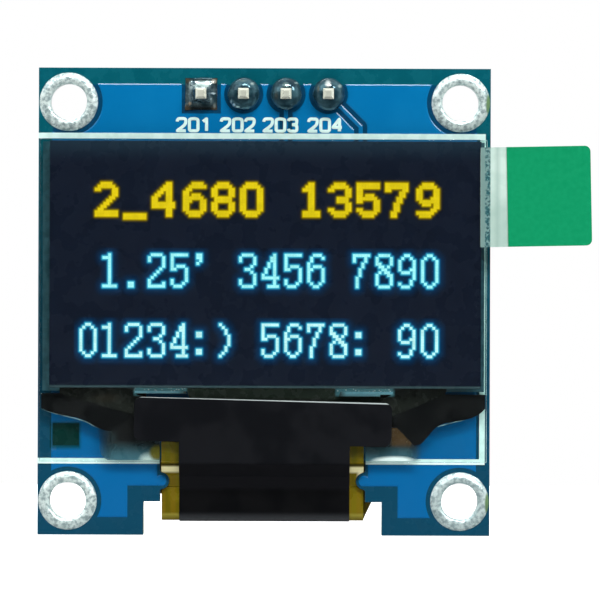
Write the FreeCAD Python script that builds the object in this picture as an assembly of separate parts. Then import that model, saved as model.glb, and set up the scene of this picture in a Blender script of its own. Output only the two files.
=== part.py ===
import FreeCAD, Part
import math
import os

os.makedirs("parts", exist_ok=True)

# A small display module, seen from the front along +Y with +X to the right and +Z up.
# The origin is the middle of the four mounting holes, on the front face of the circuit board.
# All lengths are in millimetres. Depth is along Y, so what stands in front has a lower Y.

# Circuit board
board_width = 27.1
board_height = 28.0
board_thickness = 1.2
copper_thickness = 0.035
print_thickness = 0.03
print_line_width = 0.34
print_top_gap = 0.06
print_right_margin = 0.3
part_line_width = 0.15
part_line_gap = 0.12
closeness = 0.01

# Mounting holes with their plated, solder-covered rims
hole_edge_x = 1.8
hole_edge_z = 2.05
hole_radius = 1.1
plating_thickness = 0.05
rim_width = 0.66
rim_height = 0.2
rim_crest = 0.3
rim_lip = 0.06
rim_clearance = 0.27

# Notch in the lower edge, with a narrower slot above it for the ribbon
notch_side = 1.1
notch_top_drop = 2.43
slot_top_drop = 0.03
slot_side_clearance = 0.1
nub_radius = 0.5
nub_reach = 0.55
nub_height = 1.25
nub_fillet = 0.15

# Copper areas under the lacquer
pour_side_margin = 0.82
pour_top_margin = 0.95
pour_bottom_margin = 1.05
pour_notch_margin = 0.95
pour_slot_margin = 0.16
window_width = 1.6
window_height = 1.35
window_board_margin = 0.9
window_ledge_rise = 0.92
trace_width = 0.25
trace_gap = 0.27
trace_end_drop = 1.3
diagonal_trace_out = 1.94

# Pin header
pin_count = 4
pin_pitch = 2.54
pin_row_edge = 1.56
pin_width = 0.64
pin_length = 11.4
pin_front_reach = 1.35
pin_tip_chamfer = 0.14
pin_barrel_clearance = 0.0475
pad_ring = 0.45
pad_clearance = 0.22
solder_pad_margin = 0.05
solder_pin_margin = 0.08
solder_height = 1.0
solder_hollow = 0.12
solder_bulge = 0.16
housing_width = 2.54
housing_depth = 2.54
housing_groove = 0.45

# Display panel, counted from its front sheet of glass to the board
panel_left_edge = 0.16
panel_right_edge = 0.24
panel_top_edge = 4.31
panel_low_edge = 4.43
glass_thickness = 0.55
ledge_height = 4.06
cap_thickness = 0.52
cap_recess_depth = 0.3
cap_rim = 1.1
seal_thickness = 0.03
seal_margin = 0.15
adhesive_thickness = 0.12
adhesive_margin = 0.65
film_layer_thickness = 0.02
desiccant_thickness = 0.18
desiccant_margin = 0.8
active_left_margin = 2.37
active_right_margin = 2.59
active_top_margin = 2.78
active_low_margin = 1.56
emissive_border = 0.35
fan_middle_half = 4.6
fan_side_inner = 7.72
fan_left_margin = 1.19
fan_right_margin = 2.46

# Polarizer and the clear film over it
polarizer_thickness = 0.2
polarizer_left_margin = 0.59
polarizer_right_margin = 0.36
polarizer_top_margin = 0.1
polarizer_low_margin = 0.35
film_thickness = 0.06
film_margin = 0.08

# Pull tab of the clear film
tab_height = 5.95
tab_top_gap = 0.45
tab_overlap = 0.6
strip_length = 2.55
strip_thickness = 0.06
grip_length = 5.0
grip_thickness = 0.08
grip_overlap = 0.4
grip_corner_radius = 0.35
tab_tilt = 1.2

# Parts bonded to the back of the glass ledge
chip_width = 7.4
chip_height = 1.1
chip_thickness = 0.33
chip_ribbon_gap = 0.21
sealant_thickness = 0.38
clear_sealant_thickness = 0.33
sealant_inner_width = 6.35
sealant_foot_margin = 0.07

# Edges of the sealant: wings as (in from the glass edge, down from the rear glass),
# beads as (out from the ribbon, down from the rear glass)
left_wing_edge = [(0.08, 0.9), (0.7, 1.15), (1.5, 1.33), (2.7, 1.63), (3.3, 1.97), (4.3, 2.26)]
right_wing_edge = [(0.08, 0.85), (1.0, 1.44), (1.95, 1.63), (2.9, 1.91), (3.55, 2.6), (3.95, 3.0)]
wing_drop = 3.0
right_wing_hollow = [(4.3, 3.07), (5.4, 1.96)]
bead_inner_drop = 2.0
left_bead_edge = [(4.1, 1.9), (3.7, 2.95), (3.65, 3.5)]
right_bead_edge = [(3.3, 2.0), (3.5, 3.0), (3.65, 3.5)]
left_bead_foot = 3.2
right_bead_foot = 3.4

# Flexible ribbon
ribbon_width = 12.1
ribbon_x = -0.06
ribbon_thickness = 0.1
ribbon_bond_length = 1.45
ribbon_free_drop = 0.28
ribbon_slope_height = 1.25
ribbon_bend_radius = 0.35
ribbon_fold_radius = 0.5
ribbon_fold_drop = 3.57
ribbon_notch_clearance = 0.28
tail_board_edge = 4.0
tail_side_margin = 0.56
tail_length = 6.14
tail_full_width_rise = 3.24
tail_left_shoulder_rise = 1.54
tail_right_shoulder_rise = 1.08
tail_right_shoulder_out = 0.5

# Black tape over the ledge and the fold of the ribbon
tape_thickness = 0.06
tape_head_width = 15.4
tape_head_height = 2.62
tape_head_low_gap = 1.08
tape_head_corner = 0.45
tape_head_tilt = 1.3
tape_neck_width = 10.2
tape_neck_x = 0.05
tape_join_drop = 0.55
tape_bend_radius = 0.2
tape_bend_drop = 0.12
tape_back_length = 0.94

# Soldered row of the ribbon's tail
joint_pitch = 0.62
joint_width = 0.36
joint_length = 1.4
joint_overlap = 1.0
joint_height = 0.17

# Small parts on the back of the board
chip_part_length = 1.6
chip_part_width = 0.8
capacitor_height = 0.75
resistor_height = 0.45
cap_end_length = 0.32
cap_end_step = 0.02
part_board_edge = 5.15
capacitor_count = 7
capacitor_row_rise = 2.9
lower_resistor_count = 4
upper_resistor_count = 3
upper_resistor_drop = 4.9
solder_pad_out = 0.45
solder_pad_under = 0.3
solder_fillet_height = 0.3
part_clearance = 0.25
regulator_size = (2.9, 1.3, 1.0)
regulator_lead_x = 0.95
diode_size = (1.25, 1.7, 0.85)
body_chamfer = 0.12
body_standoff = 0.05
lead_width = 0.4
lead_thickness = 0.12
lead_exit_height = 0.5
lead_reach = 0.55
lead_knee = 0.22
lead_bend_radius = 0.1

# Places that follow from the sizes above
board_right = board_width / 2
board_top = board_height / 2
board_bottom = -board_height / 2
panel_top_z = board_top - panel_top_edge
glass_bottom = board_bottom + panel_low_edge
glass_left = -board_right + panel_left_edge
glass_right = board_right - panel_right_edge
panel_x = (glass_left + glass_right) / 2
notch_top = glass_bottom - notch_top_drop
slot_top = glass_bottom - slot_top_drop
slot_width = ribbon_width + 2 * slot_side_clearance
notch_width = ribbon_width + 2 * notch_side
nub_z = notch_top + nub_height
nub_offset_x = slot_width / 2 - nub_reach + nub_radius
rim_radius = hole_radius + rim_width
hole_places = [(side_x * (board_right - hole_edge_x), side_z * (board_top - hole_edge_z))
               for side_z in (1, -1) for side_x in (-1, 1)]
hole_names = ["top_left", "top_right", "bottom_left", "bottom_right"]
pin_row_z = board_top - pin_row_edge
pin_places = [(number - (pin_count - 1) / 2) * pin_pitch for number in range(pin_count)]
pin_barrel_radius = pin_width * math.sqrt(0.5) + pin_barrel_clearance
pad_radius = pin_barrel_radius + pad_ring

adhesive_front = -copper_thickness - adhesive_thickness
cap_front = adhesive_front - cap_thickness
glass_back = cap_front - seal_thickness
glass_front = glass_back - glass_thickness
polarizer_front = glass_front - polarizer_thickness
film_front = polarizer_front - film_thickness
cap_bottom = glass_bottom + ledge_height
lit_left = glass_left + active_left_margin
lit_right = glass_right - active_right_margin
lit_top = panel_top_z - active_top_margin
lit_low = cap_bottom + active_low_margin
polarizer_left = glass_left + polarizer_left_margin
polarizer_right = glass_right - polarizer_right_margin
polarizer_top = panel_top_z - polarizer_top_margin
polarizer_low = cap_bottom + polarizer_low_margin
chip_low = glass_bottom + ribbon_bond_length + chip_ribbon_gap
chip_top = chip_low + chip_height

ribbon_front_y = glass_back + ribbon_thickness / 2
ribbon_back_y = board_thickness + copper_thickness + ribbon_thickness / 2
ribbon_slot_y = ribbon_back_y - 2 * ribbon_fold_radius
ribbon_bend_z = glass_bottom - ribbon_free_drop
ribbon_slot_z = ribbon_bend_z - ribbon_slope_height
ribbon_low_z = glass_bottom - ribbon_fold_drop
ribbon_fold_z = ribbon_low_z + ribbon_thickness / 2
tail_width = board_width - 2 * tail_board_edge
joint_count = 1 + round((tail_width - 2 * tail_side_margin) / joint_pitch)
tail_end_z = ribbon_low_z + tail_length
fold_middle_y = (ribbon_slot_y + ribbon_back_y) / 2
part_base = board_thickness + copper_thickness


def block(x_low, x_high, y_low, y_high, z_low, z_high):
    corner = FreeCAD.Vector(x_low, y_low, z_low)
    return Part.makeBox(x_high - x_low, y_high - y_low, z_high - z_low, corner)


def centred_block(x, z, width, height, y_low, y_high):
    return block(x - width / 2, x + width / 2, y_low, y_high, z - height / 2, z + height / 2)


def disc(x, z, radius, y_low, y_high):
    return Part.makeCylinder(radius, y_high - y_low, FreeCAD.Vector(x, y_low, z), FreeCAD.Vector(0, 1, 0))


def plate(outline, y_low, y_high):
    """A flat plate across Y with a straight-sided outline of (x, z) points."""
    corners = [FreeCAD.Vector(x, y_low, z) for x, z in outline]
    face = Part.Face(Part.makePolygon(corners + corners[:1]))
    return face.extrude(FreeCAD.Vector(0, y_high - y_low, 0))


def curved_plate(curve_points, corner_points, y_low, y_high):
    """A flat plate across Y whose outline is a smooth curve, closed through the corner points."""
    curve_places = [FreeCAD.Vector(x, y_low, z) for x, z in curve_points]
    corner_places = [FreeCAD.Vector(x, y_low, z) for x, z in corner_points]
    curve = Part.BSplineCurve()
    curve.interpolate(curve_places)
    closing = Part.makePolygon([curve_places[-1]] + corner_places + [curve_places[0]])
    face = Part.Face(Part.Wire([curve.toShape()] + closing.Edges))
    return face.extrude(FreeCAD.Vector(0, y_high - y_low, 0))


def strip(route, width, y_low, y_high):
    """A flat conductor of even width along a route of (x, z) points, round at its joints."""
    pieces = [disc(x, z, width / 2, y_low, y_high) for x, z in route]
    for (x_start, z_start), (x_end, z_end) in zip(route, route[1:]):
        length = math.hypot(x_end - x_start, z_end - z_start)
        side_x = (z_start - z_end) / length * width / 2
        side_z = (x_end - x_start) / length * width / 2
        pieces.append(plate([(x_start + side_x, z_start + side_z), (x_end + side_x, z_end + side_z),
                             (x_end - side_x, z_end - side_z), (x_start - side_x, z_start - side_z)],
                            y_low, y_high))
    return pieces[0].fuse(pieces[1:]).removeSplitter()


def offset_edges(route, radii, offset):
    """Edges beside a route of (y, z) points, at an even distance from it, with round corners."""
    points = [FreeCAD.Vector(0, y, z) for y, z in route]
    directions = [(end - start).normalize() for start, end in zip(points, points[1:])]
    sides = [FreeCAD.Vector(1, 0, 0).cross(direction) for direction in directions]
    edges = []
    place = points[0] + sides[0] * offset
    for number, radius in enumerate(radii):
        turn = math.copysign(1, directions[number].cross(directions[number + 1]).x)
        angle = directions[number].getAngle(directions[number + 1])
        side_in = sides[number] * turn
        side_out = sides[number + 1] * turn
        centre = points[number + 1] - directions[number] * (radius * math.tan(angle / 2)) + side_in * radius
        arc_radius = radius - turn * offset
        entry = centre - side_in * arc_radius
        middle = centre - (side_in + side_out).normalize() * arc_radius
        leaving = centre - side_out * arc_radius
        if (entry - place).Length > closeness:
            edges.append(Part.makeLine(place, entry))
        edges.append(Part.Arc(entry, middle, leaving).toShape())
        place = leaving
    edges.append(Part.makeLine(place, points[-1] + sides[-1] * offset))
    return edges


def band(route, radii, thickness, x_low, x_high):
    """A bent sheet of even thickness whose section follows a route of (y, z) points."""
    near = offset_edges(route, radii, -thickness / 2)
    far = offset_edges(route, radii, thickness / 2)
    start = Part.makeLine(near[0].firstVertex().Point, far[0].firstVertex().Point)
    end = Part.makeLine(near[-1].lastVertex().Point, far[-1].lastVertex().Point)
    section = Part.Face(Part.Wire(Part.sortEdges(near + [end] + far + [start])[0]))
    section.translate(FreeCAD.Vector(x_low, 0, 0))
    return section.extrude(FreeCAD.Vector(x_high - x_low, 0, 0))


def turned(outline_edges, x, z):
    """A solid turned about the Y axis, from edges drawn in the plane of X and Y, moved to (x, z)."""
    face = Part.Face(Part.Wire(Part.sortEdges(outline_edges)[0]))
    solid = face.revolve(FreeCAD.Vector(0, 0, 0), FreeCAD.Vector(0, 1, 0), 360)
    solid.translate(FreeCAD.Vector(x, 0, z))
    return solid


def edges_at(shape, test):
    """The edges of a shape whose middle passes a test."""
    return [edge for edge in shape.Edges if test(edge.CenterOfMass)]


def save(node, shape):
    shape.exportStep("parts/" + node + ".step")


# Circuit board
board = centred_block(0, 0, board_width, board_height, 0, board_thickness)


def open_below(width, top, y_low, y_high):
    """A block that removes all under a height, over a width about the ribbon's middle."""
    return block(ribbon_x - width / 2, ribbon_x + width / 2, y_low, y_high, top - board_height, top)


board = board.cut([open_below(notch_width, notch_top, 0, board_thickness),
                   open_below(slot_width, slot_top, 0, board_thickness)])
nubs = [disc(ribbon_x + side * nub_offset_x, nub_z, nub_radius, 0, board_thickness) for side in (-1, 1)]
board = board.fuse(nubs).removeSplitter()
nub_edges = edges_at(board, lambda middle: abs(abs(middle.x - ribbon_x) - slot_width / 2) < nub_fillet
                     and abs(middle.z - nub_z) < nub_radius
                     and abs(middle.y - board_thickness / 2) < closeness)
board = board.makeFillet(nub_fillet, nub_edges)
rim_holes = [disc(x, z, hole_radius + plating_thickness, 0, board_thickness) for x, z in hole_places]
pin_holes = [disc(x, pin_row_z, pin_barrel_radius, 0, board_thickness) for x in pin_places]
board = board.cut(rim_holes + pin_holes)
save("circuit_board", board)


# Plated rims of the mounting holes, each one piece through the board
def rim_profile():
    barrel = hole_radius + plating_thickness
    crest = hole_radius + rim_crest
    front_inner = FreeCAD.Vector(hole_radius, -rim_lip, 0)
    front_crest = FreeCAD.Vector(crest, -rim_height, 0)
    front_outer = FreeCAD.Vector(rim_radius, 0, 0)
    back_inner = FreeCAD.Vector(hole_radius, board_thickness + rim_lip, 0)
    back_crest = FreeCAD.Vector(crest, board_thickness + rim_height, 0)
    back_outer = FreeCAD.Vector(rim_radius, board_thickness, 0)
    barrel_front = FreeCAD.Vector(barrel, 0, 0)
    barrel_back = FreeCAD.Vector(barrel, board_thickness, 0)
    return [Part.Arc(front_inner, front_crest, front_outer).toShape(),
            Part.makeLine(front_outer, barrel_front),
            Part.makeLine(barrel_front, barrel_back),
            Part.makeLine(barrel_back, back_outer),
            Part.Arc(back_outer, back_crest, back_inner).toShape(),
            Part.makeLine(back_inner, front_inner)]


for hole_name, (x, z) in zip(hole_names, hole_places):
    save("hole_rim_" + hole_name, turned(rim_profile(), x, z))

# Header pads on the front, the first one square
copper_front = -copper_thickness


def pad_outline(number, growth):
    size = pad_radius + growth
    if number == 0:
        return centred_block(pin_places[number], pin_row_z, 2 * size, 2 * size, copper_front, 0)
    return disc(pin_places[number], pin_row_z, size, copper_front, 0)


pads = [pad_outline(number, 0).cut(disc(x, pin_row_z, pin_barrel_radius, copper_front, 0))
        for number, x in enumerate(pin_places)]
save("header_pads", Part.makeCompound(pads))


# Copper area and traces on each face
def pour_outline(y_low, y_high):
    """The copper area inside the board's edges, clear of the notch, the slot and the holes."""
    area = block(-board_right + pour_side_margin, board_right - pour_side_margin, y_low, y_high,
                 board_bottom + pour_bottom_margin, board_top - pour_top_margin)
    notch_edge = notch_top + pour_notch_margin
    area = area.cut([open_below(notch_width + 2 * pour_notch_margin, notch_edge, y_low, y_high),
                     open_below(slot_width + 2 * pour_slot_margin, slot_top + pour_slot_margin,
                                y_low, y_high)])
    nub_copper = [disc(ribbon_x + side * nub_offset_x, nub_z, nub_radius - pour_slot_margin, y_low, y_high)
                  for side in (-1, 1)]
    nub_copper = [pad.cut(open_below(notch_width, notch_edge, y_low, y_high)) for pad in nub_copper]
    area = area.fuse(nub_copper).removeSplitter()
    return area.cut([disc(x, z, rim_radius + rim_clearance, y_low, y_high) for x, z in hole_places])


trace_end_z = panel_top_z - trace_end_drop
signal_routes = [[(pin_places[2], pin_row_z), (pin_places[2], trace_end_z)],
                 [(pin_places[3], pin_row_z),
                  (pin_places[3] + diagonal_trace_out, pin_row_z - diagonal_trace_out),
                  (pin_places[3] + diagonal_trace_out, trace_end_z)]]
front_pour = pour_outline(copper_front, 0)
front_pour = front_pour.cut([pad_outline(number, pad_clearance) for number in range(pin_count)])
window_left = -board_right + window_board_margin
window_low = glass_bottom + window_ledge_rise
front_pour = front_pour.cut(block(window_left, window_left + window_width, copper_front, 0,
                                  window_low, window_low + window_height))
trace_channel = trace_width + 2 * trace_gap
front_pour = front_pour.cut([strip(route, trace_channel, copper_front, 0) for route in signal_routes])
traces = [strip(route, trace_width, copper_front, 0).cut([pad_outline(number, 0) for number in (2, 3)])
          for route in signal_routes]
trace_solids = [solid for trace in traces for solid in trace.Solids]
save("front_copper", Part.makeCompound(front_pour.Solids + trace_solids))

# White printed frame round the panel's place
print_left = -board_right
print_right = board_right - print_right_margin
print_top = panel_top_z + print_top_gap + print_line_width
print_low = glass_bottom - print_line_width / 2
slot_side = slot_width / 2 + print_thickness
print_front = copper_front - print_thickness
print_low_top = print_low + print_line_width
print_lines = [block(print_left, print_right, print_front, 0, print_top - print_line_width, print_top),
               block(print_left, ribbon_x - slot_side, print_front, 0, print_low, print_low_top),
               block(ribbon_x + slot_side, print_right, print_front, 0, print_low, print_low_top),
               block(print_right - print_line_width, print_right, print_front, 0, print_low, print_top)]
frame_print = print_lines[0].fuse(print_lines[1:]).removeSplitter()
frame_print = frame_print.cut([front_pour] + traces)
frame_print = frame_print.cut([disc(x, z, rim_radius, print_front, 0) for x, z in hole_places])
save("frame_print", Part.makeCompound(frame_print.Solids))


# Pin header: square pins through a moulded strip on the back
def header_pin(x):
    pin = centred_block(x, pin_row_z, pin_width, pin_width, -pin_front_reach, pin_length - pin_front_reach)
    middle_y = pin_length / 2 - pin_front_reach
    tips = edges_at(pin, lambda middle: abs(middle.y - middle_y) > pin_length / 2 - pin_tip_chamfer)
    return pin.makeChamfer(pin_tip_chamfer, tips)


pins = [header_pin(x) for x in pin_places]
for number, pin in enumerate(pins):
    save("header_pin_" + str(number + 1), pin)

housing_back = board_thickness + housing_depth
housing = centred_block(0, pin_row_z, pin_count * pin_pitch, housing_width, board_thickness, housing_back)
for number in range(pin_count + 1):
    groove_x = (number - pin_count / 2) * pin_pitch
    for side in (-1, 1):
        rim = pin_row_z + side * housing_width / 2
        groove = [(groove_x - housing_groove, rim), (groove_x, rim - side * housing_groove),
                  (groove_x + housing_groove, rim)]
        housing = housing.cut(plate(groove, board_thickness, housing_back))
housing = housing.cut(pins)
save("header_housing", housing)


# Solder on the header pads: a hollow cone on the square pad, full domes on the round ones
def header_solder(number):
    base = FreeCAD.Vector(pad_radius - solder_pad_margin, copper_front, 0)
    top = FreeCAD.Vector(pin_width / 2 + solder_pin_margin, copper_front - solder_height, 0)
    bulge = -solder_hollow if number == 0 else solder_bulge
    middle = (base + top) * 0.5 + FreeCAD.Vector(bulge, -bulge, 0)
    centre_top = FreeCAD.Vector(0, top.y, 0)
    centre_low = FreeCAD.Vector(0, board_thickness, 0)
    barrel_low = FreeCAD.Vector(pin_barrel_radius, board_thickness, 0)
    barrel_top = FreeCAD.Vector(pin_barrel_radius, copper_front, 0)
    outline = [Part.Arc(base, middle, top).toShape(), Part.makeLine(top, centre_top),
               Part.makeLine(centre_top, centre_low), Part.makeLine(centre_low, barrel_low),
               Part.makeLine(barrel_low, barrel_top), Part.makeLine(barrel_top, base)]
    return turned(outline, pin_places[number], pin_row_z).cut(pins[number])


for number in range(pin_count):
    save("header_solder_" + str(number + 1), header_solder(number))


# Glass sandwich of the panel
def panel_plate(margin, top, low, y_low, y_high):
    return block(glass_left + margin, glass_right - margin, y_low, y_high, low + margin, top - margin)


save("panel_adhesive", panel_plate(adhesive_margin, panel_top_z, cap_bottom, adhesive_front, copper_front))
cap = panel_plate(0, panel_top_z, cap_bottom, cap_front, adhesive_front)
recess_floor = cap_front + cap_recess_depth
cap = cap.cut(panel_plate(cap_rim, panel_top_z, cap_bottom, cap_front, recess_floor))
save("cap_glass", cap)
save("desiccant_sheet", panel_plate(cap_rim + desiccant_margin, panel_top_z, cap_bottom,
                                    recess_floor - desiccant_thickness, recess_floor))
save("front_glass", panel_plate(0, panel_top_z, glass_bottom, glass_front, glass_back))
emissive_back = glass_back + film_layer_thickness
save("emissive_layer", block(lit_left - emissive_border, lit_right + emissive_border, glass_back,
                             emissive_back, lit_low - emissive_border, lit_top + emissive_border))

# Electrode lines fanning out from the lit area to the driver chip, as three thin areas
fan_top = lit_low - emissive_border
fan_z = (polarizer_low + cap_bottom) / 2
fan_left_x = glass_left + fan_left_margin
fan_right_x = glass_right - fan_right_margin
chip_side = chip_width / 2
chip_middle = (chip_low + chip_top) / 2
fan_middle = plate([(lit_left, fan_top), (lit_right, fan_top), (fan_middle_half, fan_z),
                    (chip_side, chip_low), (-chip_side, chip_low), (-fan_middle_half, fan_z)],
                   glass_back, emissive_back)
fan_left = plate([(fan_left_x, fan_top), (lit_left - emissive_border, fan_top), (-fan_side_inner, fan_z),
                  (-fan_side_inner, cap_bottom), (-chip_side, chip_middle), (-chip_side, chip_low),
                  (-fan_side_inner, chip_top), (fan_left_x, cap_bottom)], glass_back, emissive_back)
fan_right = plate([(lit_right + emissive_border, fan_top), (fan_right_x + emissive_border, fan_top),
                   (fan_right_x, cap_bottom), (fan_side_inner, chip_top), (chip_side, chip_low),
                   (chip_side, chip_middle), (fan_side_inner, cap_bottom), (fan_side_inner, fan_z)],
                  glass_back, emissive_back)
fans = fan_middle.fuse([fan_left, fan_right]).removeSplitter()
save("electrode_lines", Part.makeCompound(fans.Solids))

seal = panel_plate(seal_margin, panel_top_z, cap_bottom, glass_back, cap_front)
seal = seal.cut(panel_plate(cap_rim, panel_top_z, cap_bottom, glass_back, cap_front))
save("edge_seal", Part.makeCompound(seal.cut(fans).Solids))
save("driver_chip", block(-chip_width / 2, chip_width / 2, emissive_back, emissive_back + chip_thickness,
                          chip_low, chip_top))

save("polarizer", block(polarizer_left, polarizer_right, polarizer_front, glass_front,
                        polarizer_low, polarizer_top))
save("clear_film", block(polarizer_left + film_margin, polarizer_right - film_margin, film_front,
                         polarizer_front, polarizer_low + film_margin, polarizer_top - film_margin))

# Pull tab: a clear strip stuck on the film and a coloured grip on the strip's outer end
strip_front = film_front - strip_thickness
strip_left = polarizer_right - tab_overlap
strip_right = strip_left + strip_length
grip_left = strip_right - grip_overlap
grip_right = grip_left + grip_length
tab_top = panel_top_z - tab_top_gap
tab_low = tab_top - tab_height
tab_pivot = FreeCAD.Vector(polarizer_right, 0, (tab_top + tab_low) / 2)
toward_viewer = FreeCAD.Vector(0, -1, 0)
tab_strip = block(strip_left, strip_right, strip_front, film_front, tab_low, tab_top)
tab_strip.rotate(tab_pivot, toward_viewer, tab_tilt)
save("tab_strip", tab_strip)
grip = block(grip_left, grip_right, strip_front - grip_thickness, strip_front, tab_low, tab_top)
grip_corners = edges_at(grip, lambda middle: middle.x > grip_right - closeness
                        and abs(middle.z - (tab_top + tab_low) / 2) > tab_height / 2 - closeness)
grip = grip.makeFillet(grip_corner_radius, grip_corners)
grip.rotate(tab_pivot, toward_viewer, tab_tilt)
save("tab_grip", grip)

# Sealant on the back of the ledge: dark wings at both sides, clear beads beside the ribbon
sealant_back = glass_back + sealant_thickness
clear_back = glass_back + clear_sealant_thickness
sealant_low = glass_bottom + sealant_foot_margin
ribbon_left = ribbon_x - ribbon_width / 2
ribbon_right = ribbon_x + ribbon_width / 2


def from_left(points):
    return [(glass_left + inward, cap_bottom - drop) for inward, drop in points]


def from_right(points):
    return [(glass_right - inward, cap_bottom - drop) for inward, drop in points]


left_wing_start = left_wing_edge[0][0]
right_wing_start = right_wing_edge[0][0]
left_wing_corners = [(left_wing_edge[-1][0], wing_drop), (sealant_inner_width, wing_drop),
                     (sealant_inner_width, 0), (left_wing_start, 0)]
right_wing_corners = right_wing_hollow + [(sealant_inner_width, right_wing_hollow[-1][1]),
                                          (sealant_inner_width, 0), (right_wing_start, 0)]
left_wing = curved_plate(from_left(left_wing_edge), from_left(left_wing_corners), glass_back, sealant_back)
right_wing = curved_plate(from_right(right_wing_edge), from_right(right_wing_corners),
                          glass_back, sealant_back)
wings = [left_wing.cut(fans), right_wing.cut(fans)]
save("dark_sealant", Part.makeCompound([solid for wing in wings for solid in wing.Solids]))


def bead(side, edge, foot):
    """A clear bead beside the ribbon, on the side given by the sign."""
    inner_x = ribbon_x + side * (ribbon_width / 2 + slot_side_clearance)
    curve = [(ribbon_x + side * (ribbon_width / 2 + out), cap_bottom - drop) for out, drop in edge]
    curve.append((ribbon_x + side * (ribbon_width / 2 + foot), sealant_low))
    corners = [(inner_x, sealant_low), (inner_x, cap_bottom - bead_inner_drop)]
    return curved_plate(curve, corners, glass_back, clear_back).cut([left_wing, right_wing, fans])


beads = [bead(-1, left_bead_edge, left_bead_foot), bead(1, right_bead_edge, right_bead_foot)]
save("clear_sealant", Part.makeCompound([solid for one_bead in beads for solid in one_bead.Solids]))

# Ribbon: bonded to the ledge, down through the slot, folded back and up to its soldered tail
ribbon_route = [(ribbon_front_y, glass_bottom + ribbon_bond_length), (ribbon_front_y, ribbon_bend_z),
                (ribbon_slot_y, ribbon_slot_z), (ribbon_slot_y, ribbon_fold_z),
                (ribbon_back_y, ribbon_fold_z), (ribbon_back_y, tail_end_z)]
ribbon_radii = [ribbon_bend_radius, ribbon_bend_radius, ribbon_fold_radius, ribbon_fold_radius]
tail_left = ribbon_x - tail_width / 2
tail_right = ribbon_x + tail_width / 2
ribbon_band = band(ribbon_route, ribbon_radii, ribbon_thickness, tail_left, tail_right)
below_fold = ribbon_low_z - ribbon_thickness
front_leg = block(ribbon_left, ribbon_right, glass_front, fold_middle_y, below_fold,
                  glass_bottom + ribbon_bond_length)
front_leg = front_leg.cut([disc(ribbon_x + side * nub_offset_x, nub_z, nub_radius + ribbon_notch_clearance,
                                glass_front, fold_middle_y) for side in (-1, 1)])
tail = plate([(ribbon_left, below_fold), (ribbon_left, ribbon_low_z + tail_left_shoulder_rise),
              (tail_left, ribbon_low_z + tail_full_width_rise), (tail_left, tail_end_z),
              (tail_right, tail_end_z), (tail_right, ribbon_low_z + tail_full_width_rise),
              (ribbon_right + tail_right_shoulder_out, ribbon_low_z + tail_right_shoulder_rise),
              (ribbon_right, ribbon_fold_z), (ribbon_right, below_fold)],
             fold_middle_y, ribbon_back_y + ribbon_thickness)
ribbon = ribbon_band.common(front_leg.fuse(tail)).removeSplitter()
save("ribbon", ribbon)

# Black tape: a wide head on the ledge and a neck that follows the ribbon round its fold
tape_on_glass_y = glass_front - tape_thickness / 2
tape_offset = (ribbon_thickness + tape_thickness) / 2
slope_angle = math.atan2(ribbon_slot_y - ribbon_front_y, ribbon_slope_height)
tape_join_y = ribbon_front_y + tape_join_drop * math.tan(slope_angle) - tape_offset * math.cos(slope_angle)
tape_join_z = ribbon_bend_z - tape_join_drop - tape_offset * math.sin(slope_angle)
tape_slot_z = ribbon_slot_z - tape_offset * math.tan(slope_angle / 2)
tape_route = [(tape_on_glass_y, glass_bottom + tape_head_low_gap + tape_head_height / 2),
              (tape_on_glass_y, glass_bottom - tape_bend_drop), (tape_join_y, tape_join_z),
              (ribbon_slot_y - tape_offset, tape_slot_z),
              (ribbon_slot_y - tape_offset, ribbon_fold_z - tape_offset),
              (ribbon_back_y + tape_offset, ribbon_fold_z - tape_offset),
              (ribbon_back_y + tape_offset, ribbon_low_z + tape_back_length)]
tape_fold_radius = ribbon_fold_radius + tape_offset
tape_radii = [tape_bend_radius, tape_bend_radius, ribbon_bend_radius + tape_offset,
              tape_fold_radius, tape_fold_radius]
tape_neck = band(tape_route, tape_radii, tape_thickness, tape_neck_x - tape_neck_width / 2,
                 tape_neck_x + tape_neck_width / 2)
head_z = glass_bottom + tape_head_low_gap + tape_head_height / 2
tape_head = centred_block(panel_x, head_z, tape_head_width, tape_head_height,
                          glass_front - tape_thickness, glass_front)
head_corners = edges_at(tape_head, lambda middle: abs(middle.x - panel_x) > tape_head_width / 2 - closeness
                        and abs(middle.z - head_z) > tape_head_height / 2 - closeness)
tape_head = tape_head.makeFillet(tape_head_corner, head_corners)
tape_head.rotate(FreeCAD.Vector(panel_x, 0, head_z), toward_viewer, -tape_head_tilt)
save("ribbon_tape", tape_neck.fuse(tape_head).removeSplitter())

# Soldered row that joins the ribbon's tail to the board
joint_low = tail_end_z - joint_overlap
joint_top = joint_low + joint_length
joints = []
for number in range(joint_count):
    joint_x = ribbon_x + (number - (joint_count - 1) / 2) * joint_pitch
    joint = block(joint_x - joint_width / 2, joint_x + joint_width / 2, part_base, part_base + joint_height,
                  joint_low, joint_top)
    joints.append(joint.cut(ribbon))
save("tail_solder", Part.makeCompound(joints))

# Chip capacitors and resistors, upright on the back of the board
solder_pieces = []
part_windows = []


def chip_part(x, z, height):
    """A ceramic body with two metal ends that stand a little proud of it."""
    body = centred_block(x, z, chip_part_width - 2 * cap_end_step, chip_part_length - 2 * cap_end_length,
                         part_base + cap_end_step, part_base + height - cap_end_step)
    ends = [centred_block(x, z + side * (chip_part_length - cap_end_length) / 2, chip_part_width,
                          cap_end_length, part_base, part_base + height) for side in (-1, 1)]
    return body.fuse(ends)


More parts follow.
